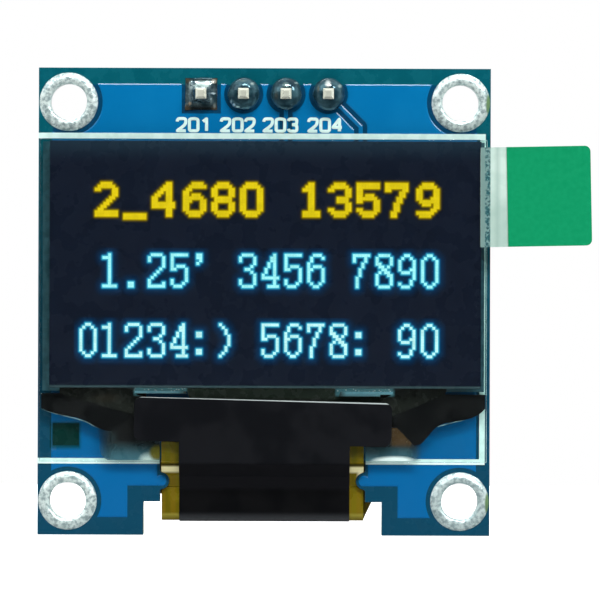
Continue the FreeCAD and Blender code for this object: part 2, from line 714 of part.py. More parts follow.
def end_solder(x, z, side, width, height):
    """A tinned pad that reaches under one end of a part, with a sloped fillet against that end."""
    inner = z - side * solder_pad_under
    outer = z + side * solder_pad_out
    profile = [FreeCAD.Vector(x - width / 2, board_thickness, inner),
               FreeCAD.Vector(x - width / 2, part_base, inner),
               FreeCAD.Vector(x - width / 2, part_base, z),
               FreeCAD.Vector(x - width / 2, part_base + height, z),
               FreeCAD.Vector(x - width / 2, part_base, outer),
               FreeCAD.Vector(x - width / 2, board_thickness, outer)]
    face = Part.Face(Part.makePolygon(profile + profile[:1]))
    return face.extrude(FreeCAD.Vector(width, 0, 0))


def place_chip_part(name, x, z, height):
    save(name, chip_part(x, z, height))
    for side in (-1, 1):
        solder_pieces.append(end_solder(x, z + side * chip_part_length / 2, side, chip_part_width,
                                        solder_fillet_height))
    part_windows.append((x, z, chip_part_width, chip_part_length + 2 * solder_pad_out))


capacitor_row_z = joint_top + capacitor_row_rise
upper_row_z = pin_row_z - upper_resistor_drop
lower_row_z = (capacitor_row_z + upper_row_z) / 2
row_start = -board_right + part_board_edge
part_pitch = -2 * row_start / (capacitor_count - 1)
upper_start = -(upper_resistor_count - 1) / 2 * part_pitch


def row_of_places(count, start, z):
    return [(start + number * part_pitch, z) for number in range(count)]


capacitor_places = row_of_places(capacitor_count, row_start, capacitor_row_z)
resistor_places = row_of_places(lower_resistor_count, row_start, lower_row_z)
resistor_places += row_of_places(upper_resistor_count, upper_start, upper_row_z)
for number, (x, z) in enumerate(capacitor_places):
    place_chip_part("capacitor_" + str(number + 1), x, z, capacitor_height)
for number, (x, z) in enumerate(resistor_places):
    place_chip_part("resistor_" + str(number + 1), x, z, resistor_height)


# Moulded parts with bent leads: a three-leg regulator and a two-leg diode
def moulded_body(x, z, size):
    width, height, depth = size
    base = part_base + body_standoff
    body = centred_block(x, z, width, height, base, base + depth)
    rim = edges_at(body, lambda middle: middle.y > base + depth - body_chamfer / 2)
    return body.makeChamfer(body_chamfer, rim)


def bent_lead(x, z, side):
    """A lead from the body's side at (x, z), out along Z, down to the pad and out again."""
    exit_y = part_base + lead_exit_height
    foot_y = part_base + lead_thickness / 2
    knee_z = z + side * lead_knee
    route = [(exit_y, z), (exit_y, knee_z), (foot_y, knee_z), (foot_y, z + side * lead_reach)]
    return band(route, [lead_bend_radius, lead_bend_radius], lead_thickness,
                x - lead_width / 2, x + lead_width / 2)


def place_moulded_part(name, x, z, size, lead_places):
    save(name + "_body", moulded_body(x, z, size))
    leads = []
    for lead_x, side in lead_places:
        side_z = z + side * size[1] / 2
        leads.append(bent_lead(x + lead_x, side_z, side))
        solder_pieces.append(end_solder(x + lead_x, side_z + side * lead_reach, side, lead_width,
                                        lead_thickness))
    save(name + "_leads", Part.makeCompound(leads))
    part_windows.append((x, z, size[0], size[1] + 2 * (lead_reach + solder_pad_out)))


diode_x = board_right - part_board_edge
regulator_x = (resistor_places[lower_resistor_count - 1][0] + diode_x) / 2
place_moulded_part("regulator", regulator_x, lower_row_z, regulator_size,
                   [(-regulator_lead_x, -1), (regulator_lead_x, -1), (0, 1)])
place_moulded_part("diode", diode_x, lower_row_z, diode_size, [(0, -1), (0, 1)])
save("component_solder", Part.makeCompound(solder_pieces))

# Copper area on the back, clear of the header and of each small part
back_pour = pour_outline(board_thickness, part_base)
back_pour = back_pour.cut(centred_block(0, pin_row_z, pin_count * pin_pitch + 2 * pad_clearance,
                                        housing_width + 2 * pad_clearance, board_thickness, part_base))
back_pour = back_pour.cut([centred_block(x, z, width + 2 * part_clearance, height + 2 * part_clearance,
                                         board_thickness, part_base)
                           for x, z, width, height in part_windows])
save("back_copper", Part.makeCompound(back_pour.Solids))

# White printed lines on the back: a short line at each side of a small part, and one under the header
back_lines = []
for x, z, width, height in part_windows:
    for side in (-1, 1):
        line_x = x + side * (width / 2 + part_clearance + part_line_gap)
        back_lines.append(centred_block(line_x, z, part_line_width, chip_part_length, part_base,
                                        part_base + print_thickness))
header_line_z = pin_row_z - housing_width / 2 - pad_clearance - part_line_gap
back_lines.append(centred_block(0, header_line_z, pin_count * pin_pitch, part_line_width, part_base,
                                part_base + print_thickness))
save("back_print", Part.makeCompound(back_lines))
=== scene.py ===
import math
import bpy
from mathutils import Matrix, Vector, noise


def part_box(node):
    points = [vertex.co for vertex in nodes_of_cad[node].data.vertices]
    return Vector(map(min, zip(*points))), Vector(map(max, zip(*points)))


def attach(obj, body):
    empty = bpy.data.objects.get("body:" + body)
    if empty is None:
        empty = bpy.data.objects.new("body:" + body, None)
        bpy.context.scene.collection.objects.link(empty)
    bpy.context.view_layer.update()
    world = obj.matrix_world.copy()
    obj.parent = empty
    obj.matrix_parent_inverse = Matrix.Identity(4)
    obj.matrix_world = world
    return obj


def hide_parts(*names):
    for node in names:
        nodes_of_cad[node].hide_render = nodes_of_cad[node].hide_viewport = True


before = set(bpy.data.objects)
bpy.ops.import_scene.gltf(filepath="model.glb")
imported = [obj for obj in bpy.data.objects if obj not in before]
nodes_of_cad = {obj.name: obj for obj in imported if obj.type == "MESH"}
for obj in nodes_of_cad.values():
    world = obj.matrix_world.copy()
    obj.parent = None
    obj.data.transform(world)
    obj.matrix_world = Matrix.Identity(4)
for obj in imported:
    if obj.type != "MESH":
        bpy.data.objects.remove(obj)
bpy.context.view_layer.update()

# A small display module seen from the front. Millimetres are written with MM, all else is in metres.
MM = 0.001
WHITE = (1, 1, 1, 1)


class Tree:
    """The nodes of the world, a material or a group, with short ways to add to them."""

    def __init__(self, owner):
        self.nodes, self.links = owner.nodes, owner.links

    def feed(self, socket, value):
        """Gives a socket a plain value, or links another node's result to it."""
        if isinstance(value, bpy.types.NodeSocket):
            self.links.new(value, socket)
        else:
            socket.default_value = value

    def add(self, kind, inputs=(), **settings):
        """A new node, with its inputs by name or number."""
        node = self.nodes.new("ShaderNode" + kind)
        for label, value in settings.items():
            setattr(node, label, value)
        for label, value in dict(inputs).items():
            self.feed(node.inputs[label], value)
        return node

    def sum(self, operation, *values, clamp=False):
        return self.add("Math", enumerate(values), operation=operation, use_clamp=clamp).outputs[0]

    def vector(self, operation, *values):
        return self.add("VectorMath", enumerate(values), operation=operation).outputs["Value"]

    def ramp(self, value, start, end, low=0, high=1):
        """A soft change from low to high, while a value goes from start to end."""
        return self.add("MapRange", {"Value": value, "From Min": start, "From Max": end, "To Min": low,
                                     "To Max": high}, interpolation_type="SMOOTHSTEP").outputs["Result"]


# Camera, lamps and floor

def add_camera():
    bpy.ops.object.camera_add(location=(2.15 * MM, -293 * MM, 0.11 * MM),
                              rotation=(math.radians(90), math.radians(-0.2), 0))
    camera = bpy.context.object
    camera.data.sensor_width = 36
    camera.data.lens = 293.2
    camera.data.clip_start = 0.01
    bpy.context.scene.camera = camera


def add_softbox(name, place, size, power):
    bpy.ops.object.light_add(type="AREA", location=place)
    lamp = bpy.context.object
    lamp.name = name
    lamp.data.shape = "RECTANGLE"
    lamp.data.size, lamp.data.size_y = size
    lamp.data.energy = power
    lamp.rotation_euler = (-Vector(place)).to_track_quat("-Z", "Y").to_euler()


def add_surroundings():
    """White to the camera and in reflections, but dark where the room behind the camera is mirrored."""
    world = bpy.data.worlds.new("white_room")
    world.use_nodes = True
    tree = Tree(world.node_tree)
    seen = tree.nodes["Background"]
    tree.feed(seen.inputs["Color"], WHITE)
    tree.feed(seen.inputs["Strength"], 1.0)
    diffuse_light = tree.add("Background", {"Strength": 0.34})
    direction = tree.add("TexCoord").outputs["Generated"]
    toward_front = tree.vector("DOT_PRODUCT", direction, (0, -1, 0))
    mirrored = tree.add("Background", {"Strength": tree.ramp(toward_front, 0.1, 0.85, 1, 0.015)})
    path = tree.add("LightPath").outputs
    either = tree.sum("MAXIMUM", path["Is Glossy Ray"], path["Is Transmission Ray"])
    lit = tree.add("MixShader", {0: either, 1: diffuse_light.outputs[0], 2: mirrored.outputs[0]})
    whole = tree.add("MixShader", {0: path["Is Camera Ray"], 1: lit.outputs[0], 2: seen.outputs[0]})
    tree.feed(tree.nodes["World Output"].inputs["Surface"], whole.outputs[0])
    bpy.context.scene.world = world


def add_floor():
    """A plain white floor under the board's lower edge, which keeps a soft shadow."""
    bpy.ops.mesh.primitive_plane_add(size=0.16, location=(0, 0, -14.02 * MM))
    floor = bpy.context.object
    floor.name = "floor"
    material = bpy.data.materials.new("white_floor")
    material.use_nodes = True
    tree = Tree(material.node_tree)
    path = tree.add("LightPath").outputs
    straight = tree.sum("MAXIMUM", path["Is Camera Ray"], path["Is Transmission Ray"])
    tone = tree.add("Mix", {0: path["Is Glossy Ray"], 6: (0.86, 0.86, 0.86, 1), 7: (0.12, 0.12, 0.12, 1)},
                    data_type="RGBA")
    for socket, value in (("Roughness", 0.9), ("Specular IOR Level", 0.0), ("Emission Color", WHITE),
                          ("Emission Strength", tree.sum("MULTIPLY", straight, 0.82)),
                          ("Base Color", tone.outputs[2])):
        tree.feed(tree.nodes["Principled BSDF"].inputs[socket], value)
    floor.data.materials.append(material)


add_camera()
add_softbox("upper_right_softbox", (0.2385, -0.297, 0.2385), (0.1, 0.1), 0.75)
add_softbox("top_softbox", (0.036, -0.297, 0.3375), (0.2, 0.08), 1.26)
add_softbox("upper_left_softbox", (-0.26, -0.24, 0.28), (0.32, 0.32), 0.5)
add_softbox("back_softbox", (-0.12, 0.36, 0.26), (0.3, 0.3), 1.1)
add_surroundings()
add_floor()


# Shared surface effects, each a group of shader nodes that reads object coordinates

class Group(Tree):
    def __init__(self, name, numbers):
        self.tree = bpy.data.node_groups.new(name, "ShaderNodeTree")
        super().__init__(self.tree)
        for label, value in numbers.items():
            self.socket(label, "INPUT").default_value = value
        self.given = self.nodes.new("NodeGroupInput").outputs
        self.place = self.add("TexCoord").outputs["Object"]

    def socket(self, label, side):
        return self.tree.interface.new_socket(name=label, in_out=side, socket_type="NodeSocketFloat")

    def along(self):
        """How far a place lies along the axis that the group's shares of X, Y and Z give."""
        axis = self.add("CombineXYZ", {letter: self.given["Along " + letter] for letter in "XYZ"})
        return self.vector("DOT_PRODUCT", self.place, axis.outputs[0])

    def give(self, label, value):
        """Ends the group with its one result."""
        self.socket(label, "OUTPUT")
        self.feed(self.nodes.new("NodeGroupOutput").inputs[label], value)
        return self.tree


def mottling_group():
    """Soft patches: 0 in the dark ones, 1 in the light ones."""
    group = Group("mottling", {"Patches": 500, "Low": 0.4, "High": 0.6})
    pattern = group.add("TexNoise", {"Vector": group.place, "Scale": group.given["Patches"], "Detail": 4})
    return group.give("Mask", group.ramp(pattern.outputs["Fac"], group.given["Low"], group.given["High"]))


def grain_group():
    """A fine uneven surface: small grains on wider swells."""
    group = Group("grain", {"Grains": 4000, "Swells": 600, "Swell share": 0.5})
    fine = group.add("TexNoise", {"Vector": group.place, "Scale": group.given["Grains"]})
    wide = group.add("TexNoise", {"Vector": group.place, "Scale": group.given["Swells"], "Detail": 1})
    blend = group.add("Mix", {0: group.given["Swell share"], 2: fine.outputs["Fac"], 3: wide.outputs["Fac"]})
    return group.give("Height", blend.outputs[0])


def specks_group():
    """Round specks, such as bubbles or grains of dust: 1 inside a speck."""
    group = Group("specks", {"Specks": 3000, "Size": 0.3})
    cells = group.add("TexVoronoi", {"Vector": group.place, "Scale": group.given["Specks"]})
    inside = group.sum("SUBTRACT", group.given["Size"], cells.outputs["Distance"])
    return group.give("Mask", group.sum("MULTIPLY", inside, 6, clamp=True))


def stripes_group():
    """Even stripes along one axis, chosen by its share: 1 on a stripe."""
    group = Group("stripes", {"Along X": 1, "Along Y": 0, "Along Z": 0, "Stripes": 2000, "Waver": 0.0})
    phase = group.sum("MULTIPLY", group.along(), group.given["Stripes"])
    patches = group.add("TexNoise", {"Vector": group.place, "Scale": 900})
    sway = group.sum("MULTIPLY_ADD", patches.outputs["Fac"], group.given["Waver"], phase)
    level = group.add("MapRange", {"Value": group.sum("SINE", sway), "From Min": -0.6, "From Max": 0.6})
    return group.give("Mask", level.outputs["Result"])


def fade_group():
    """A soft change between two places on one axis: 0 before the first, 1 past the second."""
    group = Group("fade", {"Along X": 0, "Along Y": 0, "Along Z": 1, "Start": 0, "End": 1})
    return group.give("Mask", group.ramp(group.along(), group.given["Start"], group.given["End"]))


def area_group():
    """A soft-edged rectangle seen from the front: 1 inside it."""
    group = Group("area", {"Left": 0, "Right": 1, "Bottom": 0, "Top": 1, "Soft": 0.0001})
    split = group.add("SeparateXYZ", {0: group.place}).outputs
    inside = 1
    for high, low in ((split["X"], group.given["Left"]), (group.given["Right"], split["X"]),
                      (split["Z"], group.given["Bottom"]), (group.given["Top"], split["Z"])):
        level = group.sum("DIVIDE", group.sum("SUBTRACT", high, low), group.given["Soft"])
        inside = group.sum("MULTIPLY", inside, group.sum("ADD", level, 0.5, clamp=True))
    return group.give("Mask", inside)


def spot_group():
    """A soft-edged oval seen from the front: 1 in its middle."""
    group = Group("spot", {"X": 0, "Z": 0, "Half width": 0.001, "Half height": 0.001, "Edge": 0.4})
    split = group.add("SeparateXYZ", {0: group.place}).outputs
    away = {}
    for axis, half in (("X", "Half width"), ("Z", "Half height")):
        distance = group.sum("SUBTRACT", split[axis], group.given[axis])
        away[axis] = group.sum("DIVIDE", distance, group.given[half])
    reach = group.vector("LENGTH", group.add("CombineXYZ", away).outputs[0])
    inside = group.sum("DIVIDE", group.sum("SUBTRACT", 1, reach), group.given["Edge"], clamp=True)
    return group.give("Mask", inside)


MOTTLING = mottling_group()
AREA = area_group()
SPOT = spot_group()
GRAIN = grain_group()
SPECKS = specks_group()
STRIPES = stripes_group()
FADE = fade_group()


class Finish(Tree):
    """A material with two mottled colours, uneven roughness and a fine grain."""

    def __init__(self, name, light, dark, patches=500, spread=(0.4, 0.6), roughness=(0.3, 0.4),
                 grains=4000, swells=600, depth=0.002, specular=0.5, **sockets):
        self.material = bpy.data.materials.new(name)
        self.material.use_nodes = True
        super().__init__(self.material.node_tree)
        self.shader = self.nodes["Principled BSDF"]
        mask = self.effect(MOTTLING, Patches=patches, Low=spread[0], High=spread[1])
        self.colour = (*dark, 1)
        self.add_colour(mask, light)
        shine = self.add("MapRange", {"To Min": roughness[0], "To Max": roughness[1], "Value": mask})
        self.set(Roughness=shine.outputs["Result"])
        if depth:
            height = self.effect(GRAIN, Grains=grains, Swells=swells)
            self.set(Normal=self.add("Bump", {"Distance": depth * MM, "Height": height}).outputs["Normal"])
        self.set(Specular_IOR_Level=specular, **sockets)

    def set(self, **sockets):
        for socket, value in sockets.items():
            self.feed(self.shader.inputs[socket.replace("_", " ")], value)

    def effect(self, group, **numbers):
        """The result of a shared effect with its own numbers."""
        node = self.add("Group", node_tree=group)
        for label, value in numbers.items():
            node.inputs[label.replace("_", " ")].default_value = value
        return node.outputs[0]

    def mix(self, mask, first, second):
        """A colour between two others, each a plain colour or another node's result."""
        return self.add("Mix", {0: mask, 6: first, 7: second}, data_type="RGBA").outputs[2]

    def times(self, first, second):
        return self.sum("MULTIPLY", first, second)

    def either(self, first, second):
        return self.sum("MAXIMUM", first, second)

    def add_colour(self, mask, colour, share=1):
        """Lays another colour over the finish where the mask is 1. The share can be a second mask."""
        if share != 1:
            mask = self.times(mask, share)
        self.colour = self.mix(mask, self.colour, (*colour, 1))
        self.set(Base_Color=self.colour)

    def fade(self, start, end, **shares):
        """A change from 0 to 1 between two heights, or places along another axis, in millimetres."""
        return self.effect(FADE, Start=start * MM, End=end * MM, **shares)

    def add_fade(self, start, end, colour, share=1, **shares):
        self.add_colour(self.fade(start, end, **shares), colour, share)

    def area(self, left, right, bottom, top, soft=0.1):
        """A rectangle in millimetres from the middle of the board, as a mask."""
        return self.effect(AREA, Left=left * MM, Right=right * MM, Bottom=bottom * MM, Top=top * MM,
                           Soft=soft * MM)

    def add_area(self, left, right, bottom, top, soft, colour, share=1):
        self.add_colour(self.area(left, right, bottom, top, soft), colour, share)

    def spot(self, x, z, half_width, half_height, edge):
        """An oval in millimetres from the middle of the board, as a mask."""
        return self.effect(SPOT, X=x * MM, Z=z * MM, Half_width=half_width * MM, Half_height=half_height * MM,
                           Edge=edge)

    def add_spot(self, x, z, half_width, half_height, edge, colour, share=1):
        self.add_colour(self.spot(x, z, half_width, half_height, edge), colour, share)

    def add_stripes(self, step, colour, share=1, **numbers):
        """Adds stripes of another colour, one in every so many millimetres."""
        self.add_colour(self.effect(STRIPES, Stripes=2 * math.pi / (step * MM), **numbers), colour, share)

    def clear_to_light(self):
        """Lets lamps and soft light pass, so that what lies behind glass or film is lit."""
        path = self.add("LightPath").outputs
        either = self.either(path["Is Shadow Ray"], path["Is Diffuse Ray"])
        clear = self.add("BsdfTransparent").outputs[0]
        blend = self.add("MixShader", {0: either, 1: self.shader.outputs[0], 2: clear})
        self.feed(self.nodes["Material Output"].inputs["Surface"], blend.outputs[0])
        return self


# Finishes

board_lacquer = Finish(
    "board_lacquer", (0.0006, 0.094, 0.126), (0.0005, 0.081, 0.11), patches=900, roughness=(0.22, 0.3),
    grains=9000, depth=0.003, specular=0.16)
# Painted shade: the lacquer gets darker towards the bottom.
board_lacquer.add_fade(11, -8, (0.0028, 0.05, 0.094))
board_lacquer.add_area(-12.7, 12.7, 9.5, 13, 0.1, (0.0012, 0.046, 0.108))
board_lacquer.add_area(-12.8, -11, -8.8, -7.3, 0.15, (0.0006, 0.024, 0.02))

laminate_edge = Finish(
    "laminate_edge", (0.3, 0.33, 0.13), (0.17, 0.21, 0.09), patches=1500, roughness=(0.6, 0.8), grains=12000,
    depth=0.01)
laminate_edge.add_stripes(0.15, (0.25, 0.26, 0.11), Along_X=0, Along_Y=1, Waver=1.5)

blue_copper = Finish(
    "blue_copper", (0.0006, 0.154, 0.372), (0.0006, 0.138, 0.345), patches=260, spread=(0.3, 0.7),
    roughness=(0.13, 0.2), grains=5000, swells=900, depth=0.0016, specular=0.3)
# Painted shade: the copper gets darker towards the bottom.
blue_copper.add_fade(4, -11, (0.0006, 0.108, 0.298))
blue_copper.add_area(-12.75, -10.98, -8.84, -7.26, 0.22, (0.0008, 0.055, 0.09))
# Painted shadow on the copper seen through the gap under the panel's ledge.
blue_copper.add_area(3.9, 8.2, -6.2, -5.4, 0.12, (0.02, 0.03, 0.02))

white_print = Finish(
    "white_print", (0.66, 0.88, 0.83), (0.57, 0.79, 0.74), patches=1500, roughness=(0.5, 0.7), grains=9000,
    depth=0.004, specular=0.2)

rim_solder = Finish(
    "rim_solder", (0.86, 1, 0.97), (0.36, 0.49, 0.5), patches=4600, spread=(0.33, 0.62),
    roughness=(0.3, 0.42), grains=9000, swells=3000, depth=0.035, Metallic=0.5)
rim_solder.add_colour(rim_solder.effect(SPECKS, Specks=5200, Size=0.2), (0.22, 0.27, 0.28))
# Painted shade: the lower right rim is darker.
rim_solder.add_spot(11.75, -11.95, 2.2, 2.2, 0.5, (0.3, 0.44, 0.47), 0.4)
for edge_z in (11.85, -12.05):
    rim_solder.add_spot(13.44, edge_z, 0.21, 0.8, 0.4, (0.17, 0.31, 0.14))

joint_solder = Finish(
    "joint_solder", (0.72, 0.76, 0.75), (0.36, 0.39, 0.38), patches=1300, spread=(0.35, 0.6),
    roughness=(0.12, 0.26), swells=1400, depth=0.02, Metallic=1)

dark_solder = Finish(
    "dark_solder", (0.062, 0.155, 0.19), (0.012, 0.046, 0.066), patches=1500, spread=(0.34, 0.7),
    roughness=(0.08, 0.2), grains=3600, swells=1300, depth=0.012, Metallic=0.45)
# Painted highlights and painted shades on the joints, each an oval and its tone
for *oval, tone in (
        (-2.01, 11.97, 0.08, 0.15, (0.42, 0.58, 0.6)), (-1.85, 11.78, 0.12, 0.12, (0.62, 0.78, 0.78)),
        (-1.63, 11.65, 0.17, 0.08, (0.5, 0.64, 0.64)),
        (-0.74, 13.04, 0.16, 0.11, (0.4, 0.54, 0.53)), (-1.3, 13.2, 0.3, 0.06, (0.16, 0.26, 0.25)),
        (1.27, 12.97, 0.26, 0.2, (0.25, 0.38, 0.36)), (1.9, 13.1, 0.17, 0.09, (0.34, 0.47, 0.46)),
        (0.7, 12.32, 0.22, 0.4, (0.04, 0.058, 0.056)), (3.78, 13.04, 0.22, 0.28, (0.86, 0.96, 0.94)),
        (4.5, 12.92, 0.16, 0.15, (0.42, 0.56, 0.55)), (3.2, 12.76, 0.09, 0.26, (0.1, 0.13, 0.11))):
    dark_solder.add_spot(*oval, 0.8, tone)

corner_solder = Finish(
    "corner_solder", (0.15, 0.225, 0.24), (0.022, 0.058, 0.075), patches=1900, spread=(0.36, 0.66),
    roughness=(0.14, 0.3), grains=3600, swells=1300, depth=0.03, Metallic=0.5)
# Painted highlight in patches on the top of the square joint.
patches = corner_solder.effect(MOTTLING, Patches=2600, Low=0.36, High=0.5)
corner_solder.add_area(-4.5, -3.3, 12.76, 13.2, 0.22, (0.66, 0.84, 0.8), patches)
# Painted shade along the bottom of the square joint.
corner_solder.add_area(-4.9, -2.7, 11.3, 11.72, 0.2, (0.013, 0.022, 0.025))
# Burnt resin at the pad's corners
for corner_x in (-4.66, -2.96):
    for corner_z in (11.58, 13.28):
        corner_solder.add_spot(corner_x, corner_z, 0.28, 0.28, 0.8, (0.105, 0.088, 0.06))
# Painted highlights on the square joint, one of them brown, each an oval and its tone
for *oval, tone in (
        (-3.06, 13.2, 0.19, 0.17, (0.74, 0.75, 0.66)), (-3.13, 12.48, 0.22, 0.08, (0.5, 0.64, 0.68)),
        (-3.24, 12.14, 0.08, 0.07, (0.44, 0.58, 0.6)), (-4.5, 11.86, 0.14, 0.14, (0.34, 0.28, 0.2)),
        (-3.02, 11.74, 0.12, 0.2, (0.22, 0.27, 0.26))):
    corner_solder.add_spot(*oval, 0.7, tone)

tinned_pad = Finish(
    "tinned_pad", (0.16, 0.11, 0.07), (0.03, 0.024, 0.02), patches=2200, roughness=(0.3, 0.5), grains=6000,
    depth=0.01, Metallic=0.5)

gold_pin = Finish(
    "gold_pin", (0.84, 0.76, 0.54), (0.76, 0.67, 0.45), patches=700, roughness=(0.24, 0.32), grains=8000,
    depth=0.002, Metallic=0.55)
gold_pin.add_fade(0.2, -0.4, (0.88, 0.92, 0.78), Along_Y=1, Along_Z=0)

header_plastic = Finish(
    "header_plastic", (0.022, 0.022, 0.024), (0.012, 0.012, 0.013), patches=1200, roughness=(0.35, 0.5),
    grains=9000, depth=0.01)

panel_glass = Finish(
    "panel_glass", (0.86, 0.95, 0.94), (0.83, 0.93, 0.92), patches=200, roughness=(0, 0.02), depth=0,
    Transmission_Weight=1, IOR=1.46).clear_to_light()

film_clear = Finish(
    "film_clear", (0.97, 0.99, 0.98), (0.94, 0.97, 0.96), patches=300, roughness=(0, 0.02), depth=0,
    Transmission_Weight=1, IOR=1.15).clear_to_light()

polarizer_film = Finish(
    "polarizer_film", (0.0047, 0.0078, 0.0168), (0.004, 0.0069, 0.015), patches=900, spread=(0.25, 0.75),
    roughness=(0.24, 0.32), grains=7000, swells=700, depth=0.001, specular=0.15)
# Painted sheen towards the top of the film.
polarizer_film.add_fade(8.2, 9.7, (0.01, 0.022, 0.036))
# Painted highlight along the film's bottom edge.
polarizer_film.add_area(-12.9, 13, -5.15, -5.02, 0.06, (0.026, 0.052, 0.058))

emissive_film = Finish("emissive_film", (0.012, 0.02, 0.026), (0.008, 0.014, 0.02), roughness=(0.1, 0.15))

electrode_film = Finish(
    "electrode_film", (0.0095, 0.0112, 0.009), (0.0075, 0.0094, 0.008), patches=1600, roughness=(0.2, 0.3),
    depth=0.002, specular=0.3)
electrode_film.add_stripes(0.11, (0.017, 0.017, 0.012), 0.5, Waver=0.6)
electrode_film.add_spot(-9.5, -5.75, 1.1, 0.35, 0.9, (0.042, 0.034, 0.024), 0.7)
electrode_film.add_area(-4.7, 4.4, -5.8, -4.9, 0.2, (0.036, 0.05, 0.036))


def brighten_strip(made):
    """The pale teal line with white grains under the lit area, left and right of the middle."""
    bright = made.either(made.area(-7.75, -4.6, -5.62, -5.12, 0.15), made.area(4.3, 7.8, -5.62, -5.12, 0.15))
    made.add_colour(bright, (0.1, 0.32, 0.37))
    grains = made.effect(SPECKS, Specks=6500, Size=0.32)
    made.add_area(-12.9, 12.9, -5.42, -5.12, 0.1, (0.8, 0.9, 0.9), made.times(grains, bright))


brighten_strip(electrode_film)

seal_resin = Finish(
    "seal_resin", (0.012, 0.07, 0.09), (0.006, 0.045, 0.06), patches=2600, roughness=(0.3, 0.5),
    grains=7000, depth=0.01)
brighten_strip(seal_resin)
for left, right in ((-12.1, -7.75), (7.8, 10.9)):
    seal_resin.add_area(left, right, -5.8, -4.9, 0.3, (0.006, 0.008, 0.008))

desiccant_sheet = Finish(
    "desiccant_sheet", (0.78, 0.78, 0.74), (0.66, 0.66, 0.62), patches=1500, roughness=(0.7, 0.9),
    grains=8000, depth=0.01)

adhesive_film = Finish(
    "adhesive_film", (0.8, 0.8, 0.76), (0.7, 0.7, 0.66), patches=900, roughness=(0.6, 0.8), depth=0.004)

driver_silicon = Finish(
    "driver_silicon", (0.1, 0.1, 0.115), (0.07, 0.07, 0.08), patches=700, roughness=(0.12, 0.2),
    depth=0.001)

sealant_dark = Finish(
    "sealant_dark", (0.005, 0.0048, 0.005), (0.0024, 0.0026, 0.003), roughness=(0.3, 0.45),
    depth=0.004, specular=0.15)
sealant_dark.add_area(-9.6, -8.86, -8.9, -7.9, 0.4, (0.02, 0.032, 0.035))
sealant_dark.add_area(-9.4, -6, -8.9, -8.44, 0.28, (0.022, 0.034, 0.037))

ledge_resin = Finish(
    "ledge_resin", (0.32, 0.74, 0.88), (0.23, 0.62, 0.76), patches=1500, grains=7000,
    depth=0.004)
ledge_resin.add_colour(ledge_resin.effect(SPECKS, Specks=6500, Size=0.2), (0.6, 0.74, 0.76))
ledge_resin.add_fade(-5.4, -5.66, (0.09, 0.26, 0.31), 0.7)
for left, right in ((-4.95, -4.5), (4.2, 4.75)):
    ledge_resin.add_area(left, right, -6, -5, 0.4, (0.03, 0.06, 0.06))

sealant_rim = Finish(
    "sealant_rim", (0.16, 0.29, 0.3), (0.045, 0.1, 0.11), patches=1600, roughness=(0.2, 0.3))

sealant_clear = Finish(
    "sealant_clear", (0.011, 0.017, 0.018), (0.006, 0.01, 0.011), patches=700, roughness=(0.2, 0.35),
    swells=900, depth=0.004, specular=0.25)
sealant_clear.add_fade(-8.25, -9.6, (0.042, 0.125, 0.16))
sealant_clear.add_area(7.6, 9.1, -8.6, -7.3, 0.3, (0.07, 0.04, 0.016))
# Painted highlights on the clear resin, right and left.
sealant_clear.add_spot(7.8, -9.5, 1.5, 0.33, 0.45, (0.84, 0.93, 0.91))
sealant_clear.add_spot(-6.95, -9.62, 0.62, 0.66, 0.9, (0.62, 0.72, 0.66))
sealant_clear.add_spot(-6.38, -9.04, 0.52, 0.54, 0.4, (0.12, 0.104, 0.01))
left_end = sealant_clear.fade(-10.2, -8.7, Along_X=1, Along_Z=0)
right_end = sealant_clear.fade(9.6, 8.4, Along_X=1, Along_Z=0)
sealant_clear.set(Alpha=sealant_clear.times(sealant_clear.times(left_end, right_end), 0.93))

polyimide = Finish(
    "polyimide", (0.138, 0.11, 0.0012), (0.1, 0.079, 0.001), patches=600, roughness=(0.2, 0.3),
    grains=3000, specular=0.2)
polyimide.add_stripes(0.62, (0.155, 0.1, 0.003), 0.6)
front_side = polyimide.fade(0.6, 0.1, Along_Y=1, Along_Z=0)
# On the front only: a painted highlight where the ribbon bends back into the slot, a painted shadow under the
# glass's edge, and a painted highlight on the fold.
for bottom, top, tone in ((-10.22, -9.86, (0.66, 0.62, 0.34)), (-9.84, -9.66, (0.02, 0.017, 0.001)),
                          (-13.2, -12.72, (0.27, 0.24, 0.035))):
    polyimide.add_area(-6.4, 6.4, bottom, top, 0.14, tone, front_side)
# Painted highlight on the ribbon's bend beside the right nub.
polyimide.add_spot(5.8, -10.45, 0.26, 0.5, 0.8, (0.8, 0.76, 0.5), front_side)

black_tape = Finish(
    "black_tape", (0.0042, 0.005, 0.0072), (0.0028, 0.0035, 0.0052), patches=350, roughness=(0.42, 0.55),
    grains=6000, swells=700, depth=0.003, specular=0.13)
# Painted highlight along the tape's top edge.
black_tape.add_fade(-5.94, -5.9, (0.42, 0.48, 0.48), Along_X=0.026)
# Painted light on the band where the tape slopes back into the slot and lies in shade, and a painted darker
# band below it.
black_tape.add_area(-5.3, 5.3, -11.25, -9.75, 0.3, (0.0068, 0.0072, 0.0098))
black_tape.add_area(-5.3, 5.3, -12.9, -11.25, 0.3, (0.001, 0.0013, 0.002))
# Painted highlight on the fold at the bottom of the tape.
black_tape.add_fade(-12.55, -13.2, (0.045, 0.05, 0.055))

